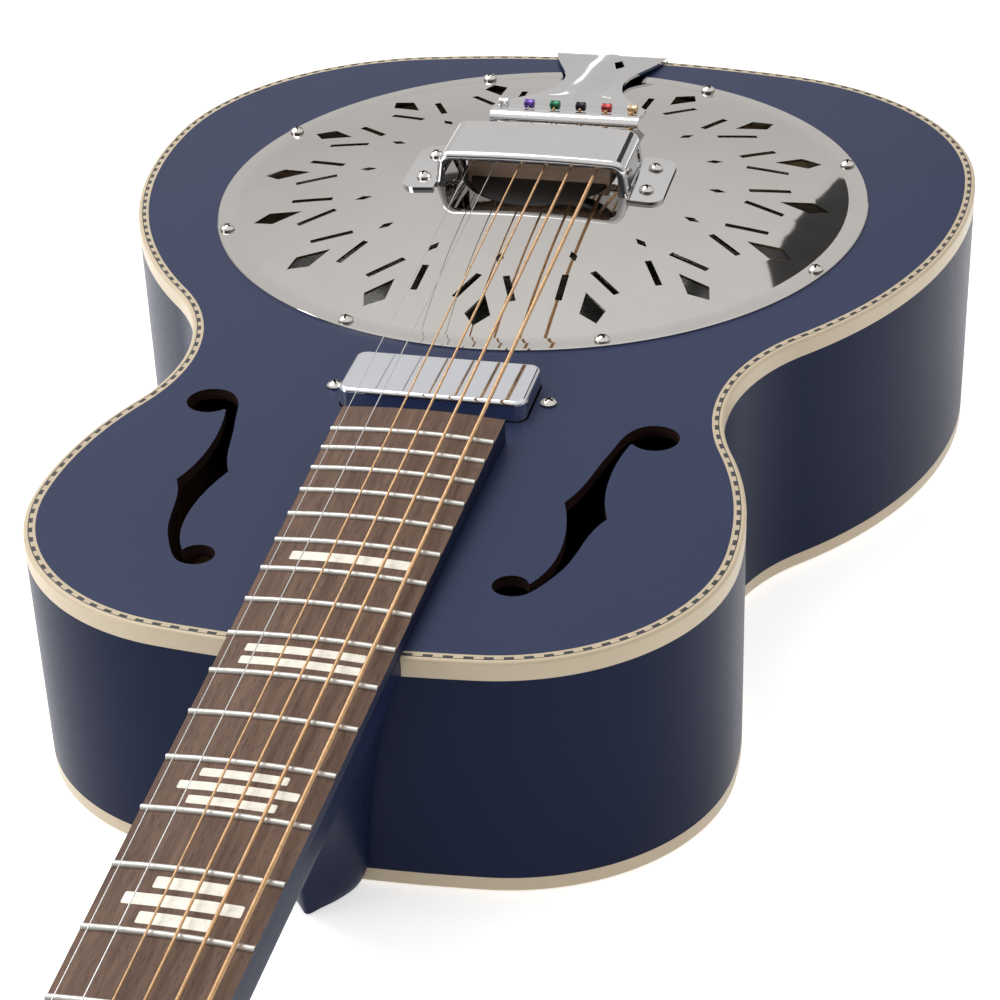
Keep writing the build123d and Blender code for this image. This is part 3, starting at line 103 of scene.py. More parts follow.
class Paint:
    """One procedural material: a Principled shader and short ways to feed it."""

    def __init__(self, name, color, roughness=0.5, metallic=0.0, **sockets):
        self.mat = bpy.data.materials.new(name)
        self.mat.use_nodes = True
        self.tree = self.mat.node_tree
        self.bsdf = self.tree.nodes["Principled BSDF"]
        self.set("Base Color", (*color, 1.0))
        self.set("Roughness", roughness)
        self.set("Metallic", metallic)
        for key, value in sockets.items():
            self.set(key.replace("_", " "), value)
        self.mat.diffuse_color = (*color, 1.0)

    def set(self, socket, value):
        self.bsdf.inputs[socket].default_value = value

    def add(self, kind, **values):
        node = self.tree.nodes.new(kind)
        for key, value in values.items():
            setattr(node, key, value)
        return node

    def link(self, a, b):
        self.tree.links.new(a, b)

    def coords(self, scale=(1, 1, 1), rotation=(0, 0, 0)):
        tex = self.add("ShaderNodeTexCoord")
        mapping = self.add("ShaderNodeMapping")
        mapping.inputs["Scale"].default_value = scale
        mapping.inputs["Rotation"].default_value = rotation
        self.link(tex.outputs["Object"], mapping.inputs["Vector"])
        return mapping.outputs["Vector"]

    def noise(self, vector, scale, detail=3.0, roughness=0.5, distortion=0.0):
        node = self.add("ShaderNodeTexNoise")
        node.inputs["Scale"].default_value = scale
        node.inputs["Detail"].default_value = detail
        node.inputs["Roughness"].default_value = roughness
        node.inputs["Distortion"].default_value = distortion
        self.link(vector, node.inputs["Vector"])
        return node.outputs["Fac"]

    def wave(self, vector, scale, direction, kind="BANDS"):
        node = self.add("ShaderNodeTexWave", wave_type=kind)
        if kind == "BANDS":
            node.bands_direction = direction
        else:
            node.rings_direction = direction
        node.inputs["Scale"].default_value = scale
        self.link(vector, node.inputs["Vector"])
        return node.outputs["Fac"]

    def ramp(self, fac, stops):
        """Colours or grey values blended by fac, from (place, value) stops."""
        node = self.add("ShaderNodeValToRGB")
        elements = node.color_ramp.elements
        while len(elements) < len(stops):
            elements.new(0.5)
        for element, (place, value) in zip(elements, stops):
            element.position = place
            if not isinstance(value, tuple):
                value = (value, value, value)
            element.color = (*value, 1.0)
        self.link(fac, node.inputs["Fac"])
        return node.outputs["Color"]

    def span(self, fac, low, high):
        """The same value stretched from 0..1 to low..high."""
        node = self.add("ShaderNodeMapRange")
        node.inputs["To Min"].default_value = low
        node.inputs["To Max"].default_value = high
        self.link(fac, node.inputs["Value"])
        return node.outputs["Result"]

    def mix(self, fac, a, b, blend="MIX"):
        node = self.add("ShaderNodeMix", data_type="RGBA", blend_type=blend)
        if isinstance(fac, float):
            node.inputs["Factor"].default_value = fac
        else:
            self.link(fac, node.inputs["Factor"])
        self.link(a, node.inputs["A"])
        if isinstance(b, tuple):
            node.inputs["B"].default_value = (*b, 1.0)
        else:
            self.link(b, node.inputs["B"])
        return node.outputs["Result"]

    def color(self, output):
        self.link(output, self.bsdf.inputs["Base Color"])

    def rough(self, output):
        self.link(output, self.bsdf.inputs["Roughness"])

    def bump(self, height, strength, distance):
        """One more bump on top of those already there."""
        node = self.add("ShaderNodeBump")
        node.inputs["Strength"].default_value = strength
        node.inputs["Distance"].default_value = distance
        self.link(height, node.inputs["Height"])
        last = self.bsdf.inputs["Normal"].links
        if last:
            self.link(last[0].from_socket, node.inputs["Normal"])
        self.link(node.outputs["Normal"], self.bsdf.inputs["Normal"])


def shade(color, factor):
    return tuple(min(1.0, c * factor) for c in color)


def mottled(name, color, roughness, spread=0.06, scale=60.0, grain=900.0, bump=0.05, **sockets):
    """Moulded or lacquered surface: faint colour drift, uneven gloss and fine grain."""
    paint = Paint(name, color, roughness, **sockets)
    at = paint.coords()
    drift = paint.noise(at, scale, 4.0)
    paint.color(paint.ramp(drift, [(0.3, shade(color, 1 - spread)), (0.7, shade(color, 1 + spread))]))
    fine = paint.noise(at, grain, 3.0)
    paint.rough(paint.span(fine, roughness * 0.85, min(1.0, roughness * 1.15)))
    paint.bump(fine, bump, 0.0002)
    return paint


def plated(name, color, roughness, smear=0.05, bump=0.004):
    """Polished plate: mirror metal with faint haze, fine hairlines and soft waviness."""
    paint = Paint(name, color, roughness, 1.0)
    at = paint.coords()
    haze = paint.noise(at, 35.0, 4.0, 0.6)
    paint.color(paint.ramp(haze, [(0.3, shade(color, 0.965)), (0.7, shade(color, 1.02))]))
    hair = paint.noise(paint.coords((900, 60, 200), (0.3, 0.2, 0.9)), 1.0, 2.0)
    paint.rough(paint.span(haze, roughness, roughness + smear))
    paint.bump(hair, bump, 0.0002)
    return paint


def wooden(name, dark, light, roughness, along=(1, 30, 30), scale=9.0, pores=0.25, **sockets):
    """Wood with long grain: 'along' is small on the axis the grain runs along."""
    paint = Paint(name, light, roughness, **sockets)
    at = paint.coords(along)
    broad = paint.noise(at, scale, 6.0, 0.6, 0.4)
    streak = paint.noise(at, scale * 7, 4.0, 0.6)
    tone = paint.ramp(broad, [(0.32, dark), (0.68, light)])
    paint.color(paint.mix(pores, tone, paint.ramp(streak, [(0.35, shade(dark, 0.5)), (0.6, light)])))
    paint.rough(paint.span(streak, roughness * 0.85, min(1.0, roughness * 1.15)))
    paint.bump(streak, 0.15, 0.0003)
    return paint


def facing(paint, axis, limit):
    """1 where the surface looks along the axis by more than the limit, else 0."""
    tex = paint.add("ShaderNodeTexCoord")
    split = paint.add("ShaderNodeSeparateXYZ")
    paint.link(tex.outputs["Normal"], split.inputs["Vector"])
    size = paint.add("ShaderNodeMath", operation="ABSOLUTE")
    paint.link(split.outputs[axis], size.inputs[0])
    over = paint.add("ShaderNodeMath", operation="GREATER_THAN")
    over.inputs[1].default_value = limit
    paint.link(size.outputs["Value"], over.inputs[0])
    return over.outputs["Value"]


def navy_lacquer(name, roughness, color=NAVY, specular=0.2, shaded_cut_wood=False):
    """Satin lacquer over grain; the cut-wood option leaves bare wood, darkened with painted shade, where
    the faces look sideways.
    """
    paint = Paint(name, color, roughness, Specular_IOR_Level=specular)
    at = paint.coords()
    drift = paint.noise(at, 7.0, 5.0, 0.6)
    tone = paint.ramp(drift, [(0.3, shade(color, 0.94)), (0.7, shade(color, 1.07))])
    if shaded_cut_wood:
        # Sideways faces get bare wood darkened with painted shade.
        grain = paint.noise(paint.coords((40, 40, 900)), 1.0, 4.0)
        bare_wood_and_shade = paint.ramp(grain, [(0.35, shade(CUT_WOOD_AND_SHADE, 0.6)), (0.65, shade(CUT_WOOD_AND_SHADE, 1.4))])
        tone = paint.mix(facing(paint, "Z", 0.5), bare_wood_and_shade, tone)
    paint.color(tone)
    satin = paint.noise(at, 420.0, 3.0, 0.6)
    paint.rough(paint.span(satin, roughness - 0.05, roughness + 0.05))
    peel = paint.noise(at, 1100.0, 2.0)
    paint.bump(peel, 0.06, 0.0002)
    grain = paint.noise(paint.coords((260, 5, 260)), 1.0, 3.0)
    paint.bump(grain, 0.035, 0.0003)
    return paint


def rosewood():
    """The fretboard's wood, with streaks and short dark pores along the neck."""
    paint = Paint("rosewood", (0.13, 0.085, 0.06), 0.55, Specular_IOR_Level=0.2)
    at = paint.coords((300, 11, 300))
    broad = paint.noise(at, 0.35, 5.0, 0.6, 0.3)
    fine = paint.noise(at, 1.6, 6.0, 0.65, 0.2)
    pores = paint.noise(paint.coords((2600, 130, 2600)), 1.0, 2.0, 0.5)
    tone = paint.ramp(broad, [(0.30, (0.086, 0.046, 0.030)), (0.52, (0.130, 0.074, 0.050)),
                              (0.72, (0.178, 0.108, 0.075))])
    streaks = paint.ramp(fine, [(0.34, (0.060, 0.031, 0.021)), (0.50, (0.122, 0.071, 0.049)),
                                (0.68, (0.196, 0.124, 0.086))])
    wood = paint.mix(0.55, tone, streaks)
    dashes = paint.ramp(pores, [(0.33, 0.7), (0.42, 0.0)])
    wood = paint.mix(dashes, wood, (0.045, 0.028, 0.022))
    # The board's edges are lacquered navy with the neck, in the darker navy that carries painted shade.
    paint.color(paint.mix(facing(paint, "X", 0.75), wood, NAVY_SHADED))
    paint.rough(paint.span(fine, 0.46, 0.62))
    paint.bump(pores, 0.25, 0.0002)
    paint.bump(fine, 0.1, 0.0003)
    return paint


def pearloid(name):
    color = (0.80, 0.77, 0.67)
    paint = Paint(name, color, 0.28, Coat_Weight=0.3, Coat_Roughness=0.15)
    at = paint.coords()
    swirl = paint.noise(at, 160.0, 4.0, 0.5, 1.6)
    paint.color(paint.ramp(swirl, [(0.3, shade(color, 0.88)), (0.5, color), (0.7, shade(color, 1.1))]))
    paint.rough(paint.span(swirl, 0.22, 0.36))
    paint.bump(paint.noise(at, 900.0, 2.0), 0.03, 0.0002)
    return paint


def spun_metal():
    """Aluminium with fine rings round the cone's centre."""
    paint = Paint("spun_aluminium", (0.62, 0.62, 0.61), 0.3, 1.0)
    tex = paint.add("ShaderNodeTexCoord")
    shift = paint.add("ShaderNodeMapping")
    shift.inputs["Location"].default_value = (0, -CENTRE_Y / 1000, 0)
    paint.link(tex.outputs["Object"], shift.inputs["Vector"])
    rings = paint.wave(shift.outputs["Vector"], 380.0, "Z", "RINGS")
    drift = paint.noise(paint.coords(), 80.0, 3.0)
    paint.color(paint.ramp(drift, [(0.3, (0.55, 0.55, 0.54)), (0.7, (0.68, 0.68, 0.67))]))
    paint.rough(paint.span(rings, 0.24, 0.4))
    paint.bump(rings, 0.12, 0.0001)
    return paint


def wound_wire():
    """Bronze wrap: fine bands across the string."""
    color = (0.69, 0.43, 0.225)
    paint = Paint("bronze_wound", color, 0.32, 1.0)
    bands = paint.wave(paint.coords(), 1000.0, "Y")
    drift = paint.noise(paint.coords((40, 400, 40)), 1.0, 2.0)
    paint.color(paint.ramp(drift, [(0.3, shade(color, 0.88)), (0.7, shade(color, 1.12))]))
    paint.rough(paint.span(drift, 0.26, 0.4))
    paint.bump(bands, 0.4, 0.0002)
    return paint


def screw_metal():
    """Nickel with painted shade down in the cross recess and round the foot of the head."""
    paint = plated("nickel_screw", (0.66, 0.63, 0.59), 0.12)
    bare_nickel = paint.bsdf.inputs["Base Color"].links[0].from_socket
    corner = paint.add("ShaderNodeAmbientOcclusion", samples=8)
    corner.inputs["Distance"].default_value = 0.0012
    # Painted shade: ambient occlusion darkens the nickel in the recess and at the head's foot.
    recess_shade = paint.ramp(corner.outputs["AO"], [(0.35, 0.03), (0.8, 1.0)])
    paint.color(paint.mix(1.0, bare_nickel, recess_shade, "MULTIPLY"))
    return paint


def make_materials():
    """Every material by the name of its slot."""
    made = {
        "navy_satin": navy_lacquer("navy_satin", 0.40, shaded_cut_wood=True),
        # The sides, neck and headstock take the darker navy, with painted shade.
        "navy_gloss": navy_lacquer("navy_gloss", 0.34, NAVY_SHADED, 0.06),
        "neck_navy": navy_lacquer("neck_navy", 0.36, NAVY_SHADED, 0.06),
        "head_overlay": navy_lacquer("head_overlay", 0.30, NAVY_SHADED, 0.2),
        "cream_binding": mottled("cream_binding", CREAM, 0.36, 0.035, 40.0),
        "purfling_cream": mottled("purfling_cream", shade(CREAM, 0.92), 0.42, 0.05, 90.0),
        "purfling_black": mottled("purfling_black", (0.018, 0.019, 0.022), 0.42, 0.2, 120.0),
        "spruce_inside": wooden("spruce_inside", (0.42, 0.27, 0.14), (0.6, 0.43, 0.25), 0.7,
                                (30, 2, 30)),
        "mahogany_inside": wooden("mahogany_inside", (0.16, 0.07, 0.035), (0.3, 0.15, 0.08), 0.7,
                                  (30, 30, 2)),
        "maple_ply": wooden("maple_ply", (0.35, 0.22, 0.12), (0.55, 0.38, 0.22), 0.65,
                            (3, 3, 160), 4.0),
        "spun_aluminium": spun_metal(),
        "black_biscuit": wooden("black_biscuit", (0.010, 0.010, 0.011), (0.022, 0.021, 0.021), 0.5,
                                (4, 50, 50)),
        "zinc_screw": plated("zinc_screw", (0.55, 0.55, 0.56), 0.3),
        "maple_saddle": wooden("maple_saddle", (0.40, 0.27, 0.19), (0.62, 0.45, 0.33), 0.5,
                               (5, 60, 60)),
        "coverplate_nickel": plated("coverplate_nickel", (0.585, 0.56, 0.535), 0.02, 0.03, 0.002),
        "nickel_screw": screw_metal(),
        "chrome": plated("chrome", SILVER, 0.05, 0.03, 0.003),
        "pickup_chrome": plated("pickup_chrome", (0.70, 0.715, 0.75), 0.06, 0.03, 0.003),
        "black_plastic": mottled("black_plastic", (0.02, 0.02, 0.021), 0.5),
        "copper_coil": plated("copper_coil", (0.45, 0.17, 0.08), 0.35),
        "brass_plate": plated("brass_plate", (0.6, 0.45, 0.22), 0.3),
        "black_lead": mottled("black_lead", (0.015, 0.015, 0.016), 0.45),
        "steel_rod": plated("steel_rod", (0.45, 0.45, 0.46), 0.35),
        "rosewood": rosewood(),
        "fret_wire": plated("fret_wire", (0.56, 0.545, 0.51), 0.34, 0.10),
        "pearloid": pearloid("pearloid"),
        "bone": mottled("bone", (0.78, 0.73, 0.60), 0.38, 0.05, 200.0),
        "cover_black": mottled("cover_black", (0.012, 0.012, 0.013), 0.25, 0.2),
        "tuner_nickel": plated("tuner_nickel", (0.70, 0.69, 0.67), 0.14, 0.07),
        "tuner_post": plated("tuner_post", (0.70, 0.69, 0.67), 0.12, 0.06),
        "tuner_worm": plated("tuner_worm", (0.60, 0.59, 0.56), 0.25, 0.1),
        "button_cream": pearloid("button_cream"),
        "plain_steel": plated("plain_steel", (0.74, 0.74, 0.74), 0.2, 0.08),
        "bronze_wound": wound_wire(),
    }
    for index, (name, color) in enumerate(BALL_COLORS):
        made["ball_%d" % index] = plated("ball_" + name, color, 0.22, 0.1)
    return {key: paint.mat for key, paint in made.items()}


MAT = make_materials()


# ------------------------------------------------------------------ mesh tools
def add_piece(name, data, materials, replaces=(), body=ROOT):
    """A mesh or curve as a piece that rides on a body and may stand in for CAD nodes."""
    piece = bpy.data.objects.new(name, data)
    bpy.context.scene.collection.objects.link(piece)
    for key in materials:
        data.materials.append(MAT[key])
    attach(piece, body)
    if replaces:
        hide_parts(*replaces)
    return piece


def mesh_from(verts, faces, matrix, indices=None, angle=35.0):
    """A smooth mesh set down by the matrix, with its corners over the angle kept sharp."""
    mesh = bpy.data.meshes.new("shape")
    mesh.from_pydata([matrix @ Vector(v) for v in verts], [], faces)
    if indices:
        for face, index in zip(mesh.polygons, indices):
            face.material_index = index
    work = bmesh.new()
    work.from_mesh(mesh)
    bmesh.ops.recalc_face_normals(work, faces=work.faces)
    work.to_mesh(mesh)
    work.free()
    for face in mesh.polygons:
        face.use_smooth = True
    mesh.set_sharp_from_angle(angle=math.radians(angle))
    return mesh


def loop_faces(rings, corners):
    """The faces between closed rings of corners, the last ring joined to the first."""
    faces = []
    for s in range(rings):
        t = (s + 1) % rings
        for k in range(corners):
            m = (k + 1) % corners
            faces.append((s * corners + k, s * corners + m, t * corners + m, t * corners + k))
    return faces


# ------------------------------------------------------------------ body outline
def toward(degrees):
    """The direction so far round from the tail, towards the bass side."""
    return Vector((math.sin(math.radians(degrees)), math.cos(math.radians(degrees)), 0))


def outline_arcs():
    """Centre, radius, start, end and side of each arc, from the tail to the neck."""
    radii = (392.3, 107.5, 190.0, 78.4, 148.2, 75.0)
    turns = (12.0, 84.3, 131.8, 66.4, 91.7, 173.7)
    signs = (1, 1, 1, -1, 1, 1)
    centre = Vector((0, TAIL_Y - radii[0], 0))
    arcs = []
    start = 0.0
    for k, (radius, turn, sign) in enumerate(zip(radii, turns, signs)):
        if k:
            last = signs[k - 1] * radii[k - 1]
            centre = centre + toward(start) * (last - sign * radius)
        arcs.append((centre.copy(), radius, start, turn, sign))
        start = turn
    last_radius = radii[-1] + centre.x / toward(start).x
    end = centre + toward(start) * (radii[-1] - last_radius)
    end.x = 0.0
    arcs.append((end, last_radius, start, 180.0, 1))
    return arcs


def outline_stations(step):
    """Points round the body about 'step' apart, as (point, outward direction)."""
    half = []
    for centre, radius, start, end, sign in outline_arcs():
        length = radius * abs(math.radians(end - start))
        count = max(2, round(length / step))
        for k in range(count):
            out = toward(start + (end - start) * k / count)
            half.append((centre + out * sign * radius, out))
    # The loop ends on the last arc, which closes the half outline at the neck.
    out = Vector((0, -1, 0))
    half.append((centre + out * radius, out))
    mirror = [(Vector((-p.x, p.y, 0)), Vector((-n.x, n.y, 0))) for p, n in reversed(half[1:-1])]
    return half + mirror


def even_stations(count):
    """The outline cut into this many equal steps along its length."""
    fine = outline_stations(0.5)
    fine.append(fine[0])
    run = [0.0]
    for (a, _), (b, _) in zip(fine, fine[1:]):
        run.append(run[-1] + (b - a).length)
    total = run[-1]
    stations = []
    k = 0
    for step in range(count):
        want = total * step / count
        while run[k + 1] < want:
            k += 1
        t = (want - run[k]) / (run[k + 1] - run[k])
        point = fine[k][0].lerp(fine[k + 1][0], t)
        out = fine[k][1].lerp(fine[k + 1][1], t).normalized()
        stations.append((point, out))
    return stations


def back_height(place):
    """Height of the tapered back's outer face under a point of the outline."""
    return -(DEPTH + BACK_TAPER * place.y)


def ring_piece(name, stations, section, bands, materials, replaces):
    """A closed band round the body; corners are (inset, height, 0 from top or 1 from back)."""
    verts = []
    for point, out in stations:
        for inset, height, on_back in section:
            place = point - out * inset
            base = back_height(place) if on_back else 0.0
            verts.append((place.x, place.y, base + height))
    rings, corners = len(stations), len(section)
    indices = [bands(s, k) for s in range(rings) for k in range(corners)]
    mesh = mesh_from(verts, loop_faces(rings, corners), TOP, indices, 40.0)
    return add_piece(name, mesh, materials, replaces)


def edge_pieces():
    stations = outline_stations(2.0)
    binding_w = 1.6
    top_h = 6.5
    back_h = 5.5
    top_t = 4.0
    back_t = 3.0
    side_in = 2.8
    round_r = 1.1
    angles = [math.radians(15 * k) for k in range(7)]
    arc = [(round_r - round_r * math.cos(a), round_r - round_r * math.sin(a)) for a in angles]

    def plain(s, k):
        return 0

    shoulder = [(inset, -drop, 0) for inset, drop in arc]
    section = [(0.0, -top_h, 0)] + shoulder + [(binding_w, 0.0, 0), (binding_w, -top_h, 0)]
    ring_piece("top_edge_binding", stations, section, plain,
               ["cream_binding"], ["top_binding"])
    foot = [(inset, drop, 1) for inset, drop in arc]
    section = [(0.0, back_h, 1)] + foot + [(binding_w, 0.0, 1), (binding_w, back_h, 1)]
    ring_piece("back_edge_binding", stations, section, plain,
               ["cream_binding"], ["back_binding"])
    section = [(0.0, -top_h, 0), (binding_w, -top_h, 0), (binding_w, -top_t, 0), (side_in, -top_t, 0),
               (side_in, back_t, 1), (binding_w, back_t, 1), (binding_w, back_h, 1), (0.0, back_h, 1)]
    inner_face = 3
    ring_piece("bent_sides", stations, section, lambda s, k: 1 if k == inner_face else 0,
               ["navy_gloss", "mahogany_inside"], ["side_rim"])

    # Block purfling: black line, black blocks on cream, cream line.
    blocks = 222
    parts = 4
    line_in, blocks_in, purfling_in = 1.95, 3.15, 4.1
    purfling_t = 2.0
    section = [(binding_w, 0.0, 0), (line_in, 0.0, 0), (blocks_in, 0.0, 0), (purfling_in, 0.0, 0),
               (purfling_in, -purfling_t, 0), (binding_w, -purfling_t, 0)]

    def band(s, k):
        black = k == 0 or (k == 1 and s % parts < parts / 2)
        return 1 if black else 0

    ring_piece("block_purfling", even_stations(blocks * parts), section, band,
               ["purfling_cream", "purfling_black"], ["top_purfling"])


# ------------------------------------------------------------------ strings
# Strings count from the treble side; the first two are plain steel.
STRING_R = (0.16, 0.21, 0.33, 0.43, 0.54, 0.68)
POST_TURNS = (5, 5, 5, 4, 4, 3)
POST_X = 23.0
POST_Y = (-38.0, -78.0, -118.0)
POST_R = 3.0
POST_HOLE_Z = 11.6
COIL_MIDDLE_Z = 6.6
CAMBER_R = 305.0
NUT_SPREAD = 36.0
SADDLE_SPREAD = 50.4
BALL_SPREAD = 53.8
BALL_Y = 57.1
BALL_Z = 17.0
LIP_Z = 12.4
NUT_LIFT = 1.5
FRET12_LIFT = 3.0


def across(index, spread):
    """Sideways place of a string in a row of six this wide."""
    return (index / 5.0 - 0.5) * spread


def string_ends(index):
    """Where a string crosses the nut and where it crosses the saddle."""
    radius = STRING_R[index]
    x_nut = across(index, NUT_SPREAD)
    x_end = across(index, SADDLE_SPREAD)
    y_end = (CENTRE_Y + SCALE / 2) / math.cos(NECK_TILT)
    rise = (FRET12_LIFT - NUT_LIFT) / (SCALE / 2)
    end_lift = NUT_LIFT + rise * (y_end + SCALE / 2)
    start = Vector((x_nut, -SCALE / 2, NUT_LIFT + radius - x_nut ** 2 / (2 * CAMBER_R)))
    end = Vector((x_end - NECK_X, y_end, end_lift + radius - x_end ** 2 / (2 * CAMBER_R)))
    return NECK @ start, NECK @ end


def post_places():
    return [(-POST_X, y) for y in POST_Y] + [(POST_X, y) for y in reversed(POST_Y)]


def inner_angle(x):
    """The angle at a post that points to the headstock's middle."""
    return 0.0 if x < 0 else math.pi


def post_coil(index, x, y):
    """A string's turns up its post, from the inner side and back to it."""
    radius = STRING_R[index]
    turns = POST_TURNS[index]
    steps = 24
    coil_r = POST_R + 0.12 + radius
    pitch = 2 * radius + 0.06
    low = COIL_MIDDLE_Z - min(1.5, turns * pitch / 2)
    way_round = -1 if x < 0 else 1
    line = []
    for k in range(turns * steps + 1):
        angle = inner_angle(x) + way_round * 2 * math.pi * k / steps
        height = low + pitch * k / steps
        line.append(HEAD @ Vector((x + coil_r * math.cos(angle), y + coil_r * math.sin(angle), height)))
    return line


def ball_twist(knot, under, radius):
    """The string's own end, twisted round it next to the ball."""
    count = 60
    turns = 7
    line = []
    for k in range(count):
        t = k / (count - 1)
        angle = t * turns * 2 * math.pi
        off = Vector((math.cos(angle), 0.5 * math.sin(angle), 0)) * radius / 1000 * 1.1
        line.append(knot.lerp(under, t) + off)
    return line


def cut_end(x, y):
    """The string's short end, through the post's hole and bent down."""
    angle = inner_angle(x)
    out = Vector((math.cos(angle), math.sin(angle), 0))
    hole = Vector((x, y, POST_HOLE_Z))
    bends = ((-2.6, 0.0), (3.6, 0.0), (5.0, -0.3), (6.2, -1.4))
    return [HEAD @ (hole + out * along + Vector((0, 0, height))) for along, height in bends]


def eased(points, reach):
    """The same line with each corner turned into a short curve."""
    line = [points[0]]
    for a, b, c in zip(points, points[1:], points[2:]):
        d1 = min(reach, (a - b).length * 0.45)
        d2 = min(reach, (c - b).length * 0.45)
        p = b + (a - b).normalized() * d1
        q = b + (c - b).normalized() * d2
        for k in range(6):
            t = k / 5
            line.append(p * (1 - t) ** 2 + b * 2 * t * (1 - t) + q * t ** 2)
    line.append(points[-1])
    return line


def wire(name, points, radius, slot, body=ROOT, replaces=(), sides=5):
    """A round wire along the points, its radius in metres."""
    curve = bpy.data.curves.new(name, "CURVE")
    curve.dimensions = "3D"
    curve.bevel_depth = radius
    curve.bevel_resolution = sides
    curve.use_fill_caps = True
    spline = curve.splines.new("POLY")
    spline.points.add(len(points) - 1)
    for spot, point in zip(spline.points, points):
        spot.co = (*point, 1.0)
    spline.use_smooth = True
    return add_piece(name, curve, [slot], replaces, body)


def string_pieces():
    """Each string from its ball, under the lip, over saddle and nut and up its post."""
    for index, (x, y) in enumerate(post_places()):
        number = index + 1
        radius = STRING_R[index]
        slot, node = ("bronze_wound", "wound_strings") if index > 1 else ("plain_steel", "plain_strings")
        ball_x = across(index, BALL_SPREAD)
        under_lip = LIP_Z - radius - 0.2
        knot, behind, lip_back, lip_front = (TOP @ Vector((ball_x, *place)) for place in (
            (BALL_Y - 2.0 - radius, BALL_Z - 0.2), (54.0, 12.6), (49.3, under_lip), (47.0, under_lip)))
        nut_end, saddle_end = string_ends(index)
        coil = post_coil(index, x, y)
        corners = [knot, behind, lip_back, lip_front, saddle_end, nut_end, coil[0]]
        line = eased(corners, 0.0012)[:-1] + coil
        wire("string_%d" % number, line, radius / 1000, slot, replaces=[node])
        twist = ball_twist(knot, behind, radius)
        wire("string_twist_%d" % number, twist, radius / 2000, slot, sides=3)
        wire("string_tail_%d" % number, cut_end(x, y), radius / 1000, slot, "post_%d" % number)


def lathe(name, profile, matrix, materials, replaces, sides=32):
    """A ring turned from a closed profile of (radius, height) corners."""
    verts = []
    for s in range(sides):
        a = 2 * math.pi * s / sides
        verts.extend((r * math.cos(a), r * math.sin(a), z) for r, z in profile)
    mesh = mesh_from(verts, loop_faces(sides, len(profile)), matrix)
    return add_piece(name, mesh, materials, replaces)


def ball_pieces():
    """The six coloured ball ends: waisted rings with a hole along the string row."""
    profile = [(0.8, -2.0), (1.55, -2.0), (1.85, -1.75), (1.9, -1.2), (1.75, -0.7), (1.7, 0.0),
               (1.75, 0.7), (1.9, 1.2), (1.85, 1.75), (1.55, 2.0), (0.8, 2.0), (0.7, 1.6), (0.7, -1.6)]
    for index, (color, _) in enumerate(BALL_COLORS):
        place = Matrix.Translation((across(index, BALL_SPREAD), BALL_Y, BALL_Z))
        matrix = TOP @ place @ Matrix.Rotation(math.pi / 2, 4, "Y")
        lathe("ball_end_" + color, profile, matrix, ["ball_%d" % index], ["ball_ends"])


# ------------------------------------------------------------------ carried-over CAD nodes
def paint_nodes():
    """Each CAD node in its slot's material; the purfling and balls, drawn anew as pieces, are plain."""
    slots = {s["node"]: s["material_slot"] for s in frame["record"]["subparts"]}
    for name, node in NODES.items():
        key = slots[name]
        if key in ("block_purfling", "ball_end"):
            key = "purfling_cream"
        node.data.materials.clear()
        node.data.materials.append(MAT[key])


# ------------------------------------------------------------------ stage
def area_light(name, energy, location, target, size):
    data = bpy.data.lights.new(name, "AREA")
    data.energy = energy
    data.shape = "SQUARE"
    data.size = size
    light = bpy.data.objects.new(name, data)
    bpy.context.scene.collection.objects.link(light)
    light.location = location
    light.rotation_euler = (Vector(target) - Vector(location)).to_track_quat("-Z", "Y").to_euler()


def card(name, corners, tone):
    """A plain card that only shows as a reflection in the bright metal."""
    mesh = bpy.data.meshes.new(name)
    mesh.from_pydata(corners, [], [tuple(range(len(corners)))])
    piece = bpy.data.objects.new(name, mesh)
    bpy.context.scene.collection.objects.link(piece)
    paint = mottled(name, (tone,) * 3, 0.7, 0.5, 5.0, 60.0, 0.02)
    mesh.materials.append(paint.mat)
    piece.visible_camera = False
    piece.visible_diffuse = False
    piece.visible_shadow = False


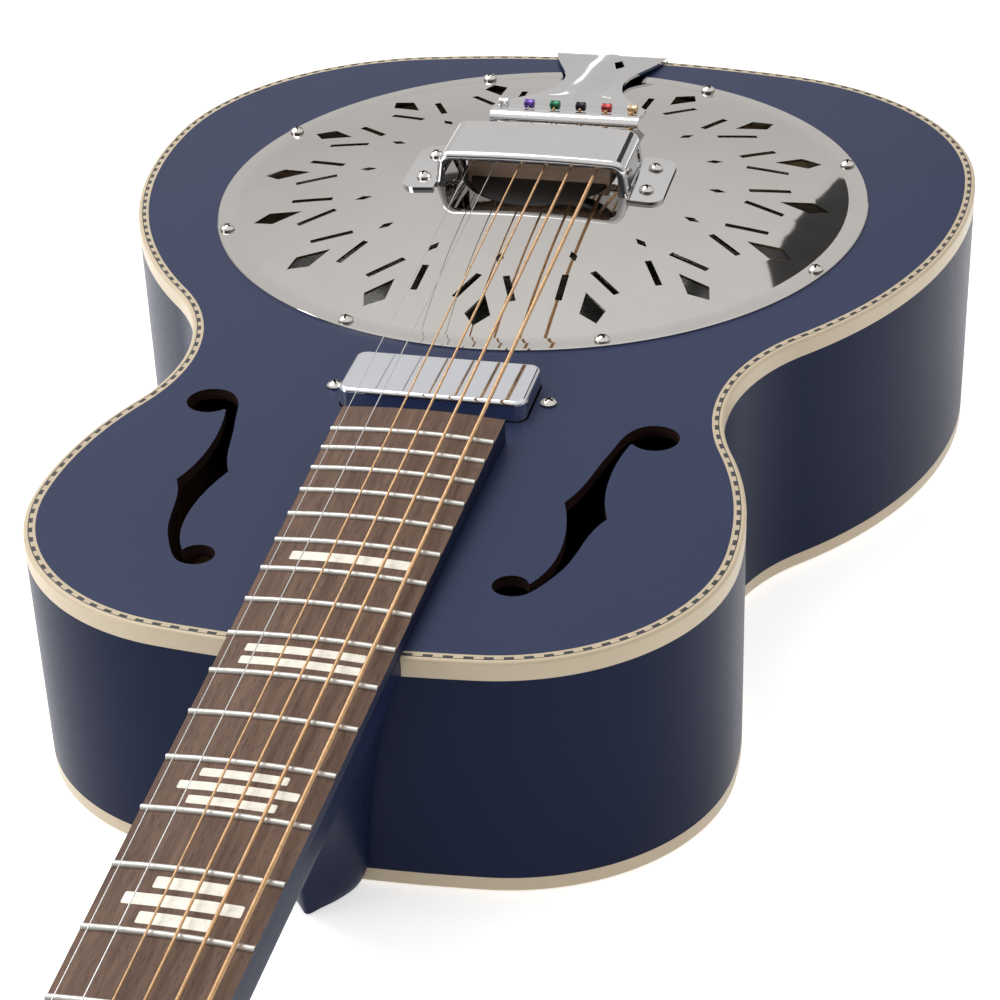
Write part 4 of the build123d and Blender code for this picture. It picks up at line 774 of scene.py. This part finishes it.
def sky():
    """Bright overhead and behind the guitar, dim low down on the player's side."""
    world = bpy.data.worlds.new("studio")
    bpy.context.scene.world = world
    world.use_nodes = True
    nodes = world.node_tree.nodes
    links = world.node_tree.links

    def ramp(value, *stops):
        node = nodes.new("ShaderNodeValToRGB")
        links.new(value, node.inputs["Fac"])
        for element, (place, color) in zip(node.color_ramp.elements, stops):
            element.position = place
            element.color = (*color, 1)
        return node.outputs["Color"]

    def span(value, low, high):
        node = nodes.new("ShaderNodeMapRange")
        node.inputs["From Min"].default_value = low
        node.inputs["From Max"].default_value = high
        links.new(value, node.inputs["Value"])
        return node.outputs["Result"]

    tex = nodes.new("ShaderNodeTexCoord")
    split = nodes.new("ShaderNodeSeparateXYZ")
    links.new(tex.outputs["Generated"], split.inputs["Vector"])
    height = split.outputs["Z"]
    up = ramp(height, (0.25, (0.70, 0.69, 0.685)), (0.75, (1.0, 0.99, 0.98)))
    # Depth runs from 0 on the player's side to 1 behind the tail.
    depth = span(split.outputs["Y"], -1.0, 1.0)
    near = ramp(depth, (0.15, (0.09, 0.09, 0.095)), (0.55, (1, 1, 1)))
    clear = nodes.new("ShaderNodeMix")
    clear.data_type = "RGBA"
    links.new(span(height, 0.30, 0.65), clear.inputs["Factor"])
    links.new(near, clear.inputs["A"])
    clear.inputs["B"].default_value = (1, 1, 1, 1)
    both = nodes.new("ShaderNodeMix")
    both.data_type = "RGBA"
    both.blend_type = "MULTIPLY"
    both.inputs["Factor"].default_value = 1.0
    links.new(up, both.inputs["A"])
    links.new(clear.outputs["Result"], both.inputs["B"])
    background = nodes["Background"]
    links.new(both.outputs["Result"], background.inputs["Color"])
    background.inputs["Strength"].default_value = 0.95


def stage():
    """A pale floor just under the guitar, the sky, a reflected stand and two lights."""
    mesh = bpy.data.meshes.new("floor")
    half = 6
    corners = [(-half, -half, 0), (half, -half, 0), (half, half, 0), (-half, half, 0)]
    mesh.from_pydata(corners, [], [(0, 1, 2, 3)])
    floor = bpy.data.objects.new("floor", mesh)
    bpy.context.scene.collection.objects.link(floor)
    floor.location.z = CAD_BOX[0][2] - 0.0004
    paint = mottled("studio_floor", (0.88, 0.88, 0.88), 0.8, 0.01, 3.0, 400.0, 0.02)
    paint.set("Emission Color", (1, 1, 1, 1))
    paint.set("Emission Strength", 0.56)
    mesh.materials.append(paint.mat)

    sky()
    stand_y = 1.1
    stand = [(0.14, 0.53), (0.145, 0.66), (0.138, 0.72), (0.142, 0.80), (0.14, 0.92),
             (0.136, 0.98), (0.156, 1.09), (0.50, 1.09), (0.50, 0.53)]
    card("dark_stand", [(x, stand_y, z) for x, z in stand], 0.03)
    area_light("key", 22, (-0.9, 0.2, 1.6), (0, -0.1, 0.1), 1.4)
    area_light("treble_fill", 5, (-1.1, -1.0, 0.45), (0, -0.25, 0.05), 0.7)


def camera():
    data = bpy.data.cameras.new("camera")
    data.lens = 97.56
    data.sensor_width = 36.0
    data.shift_x = 0.0854
    data.shift_y = 0.0777
    data.clip_start = 0.01
    data.clip_end = 50
    cam = bpy.data.objects.new("camera", data)
    bpy.context.scene.collection.objects.link(cam)
    cam.location = (0.22169, -0.97598, 0.51715)
    cam.rotation_euler = (1.0391338, 0.0383381, 0.2566341)
    bpy.context.scene.camera = cam


camera()
stage()
paint_nodes()
edge_pieces()
string_pieces()
ball_pieces()

view = bpy.context.scene.view_settings
view.view_transform = "Standard"
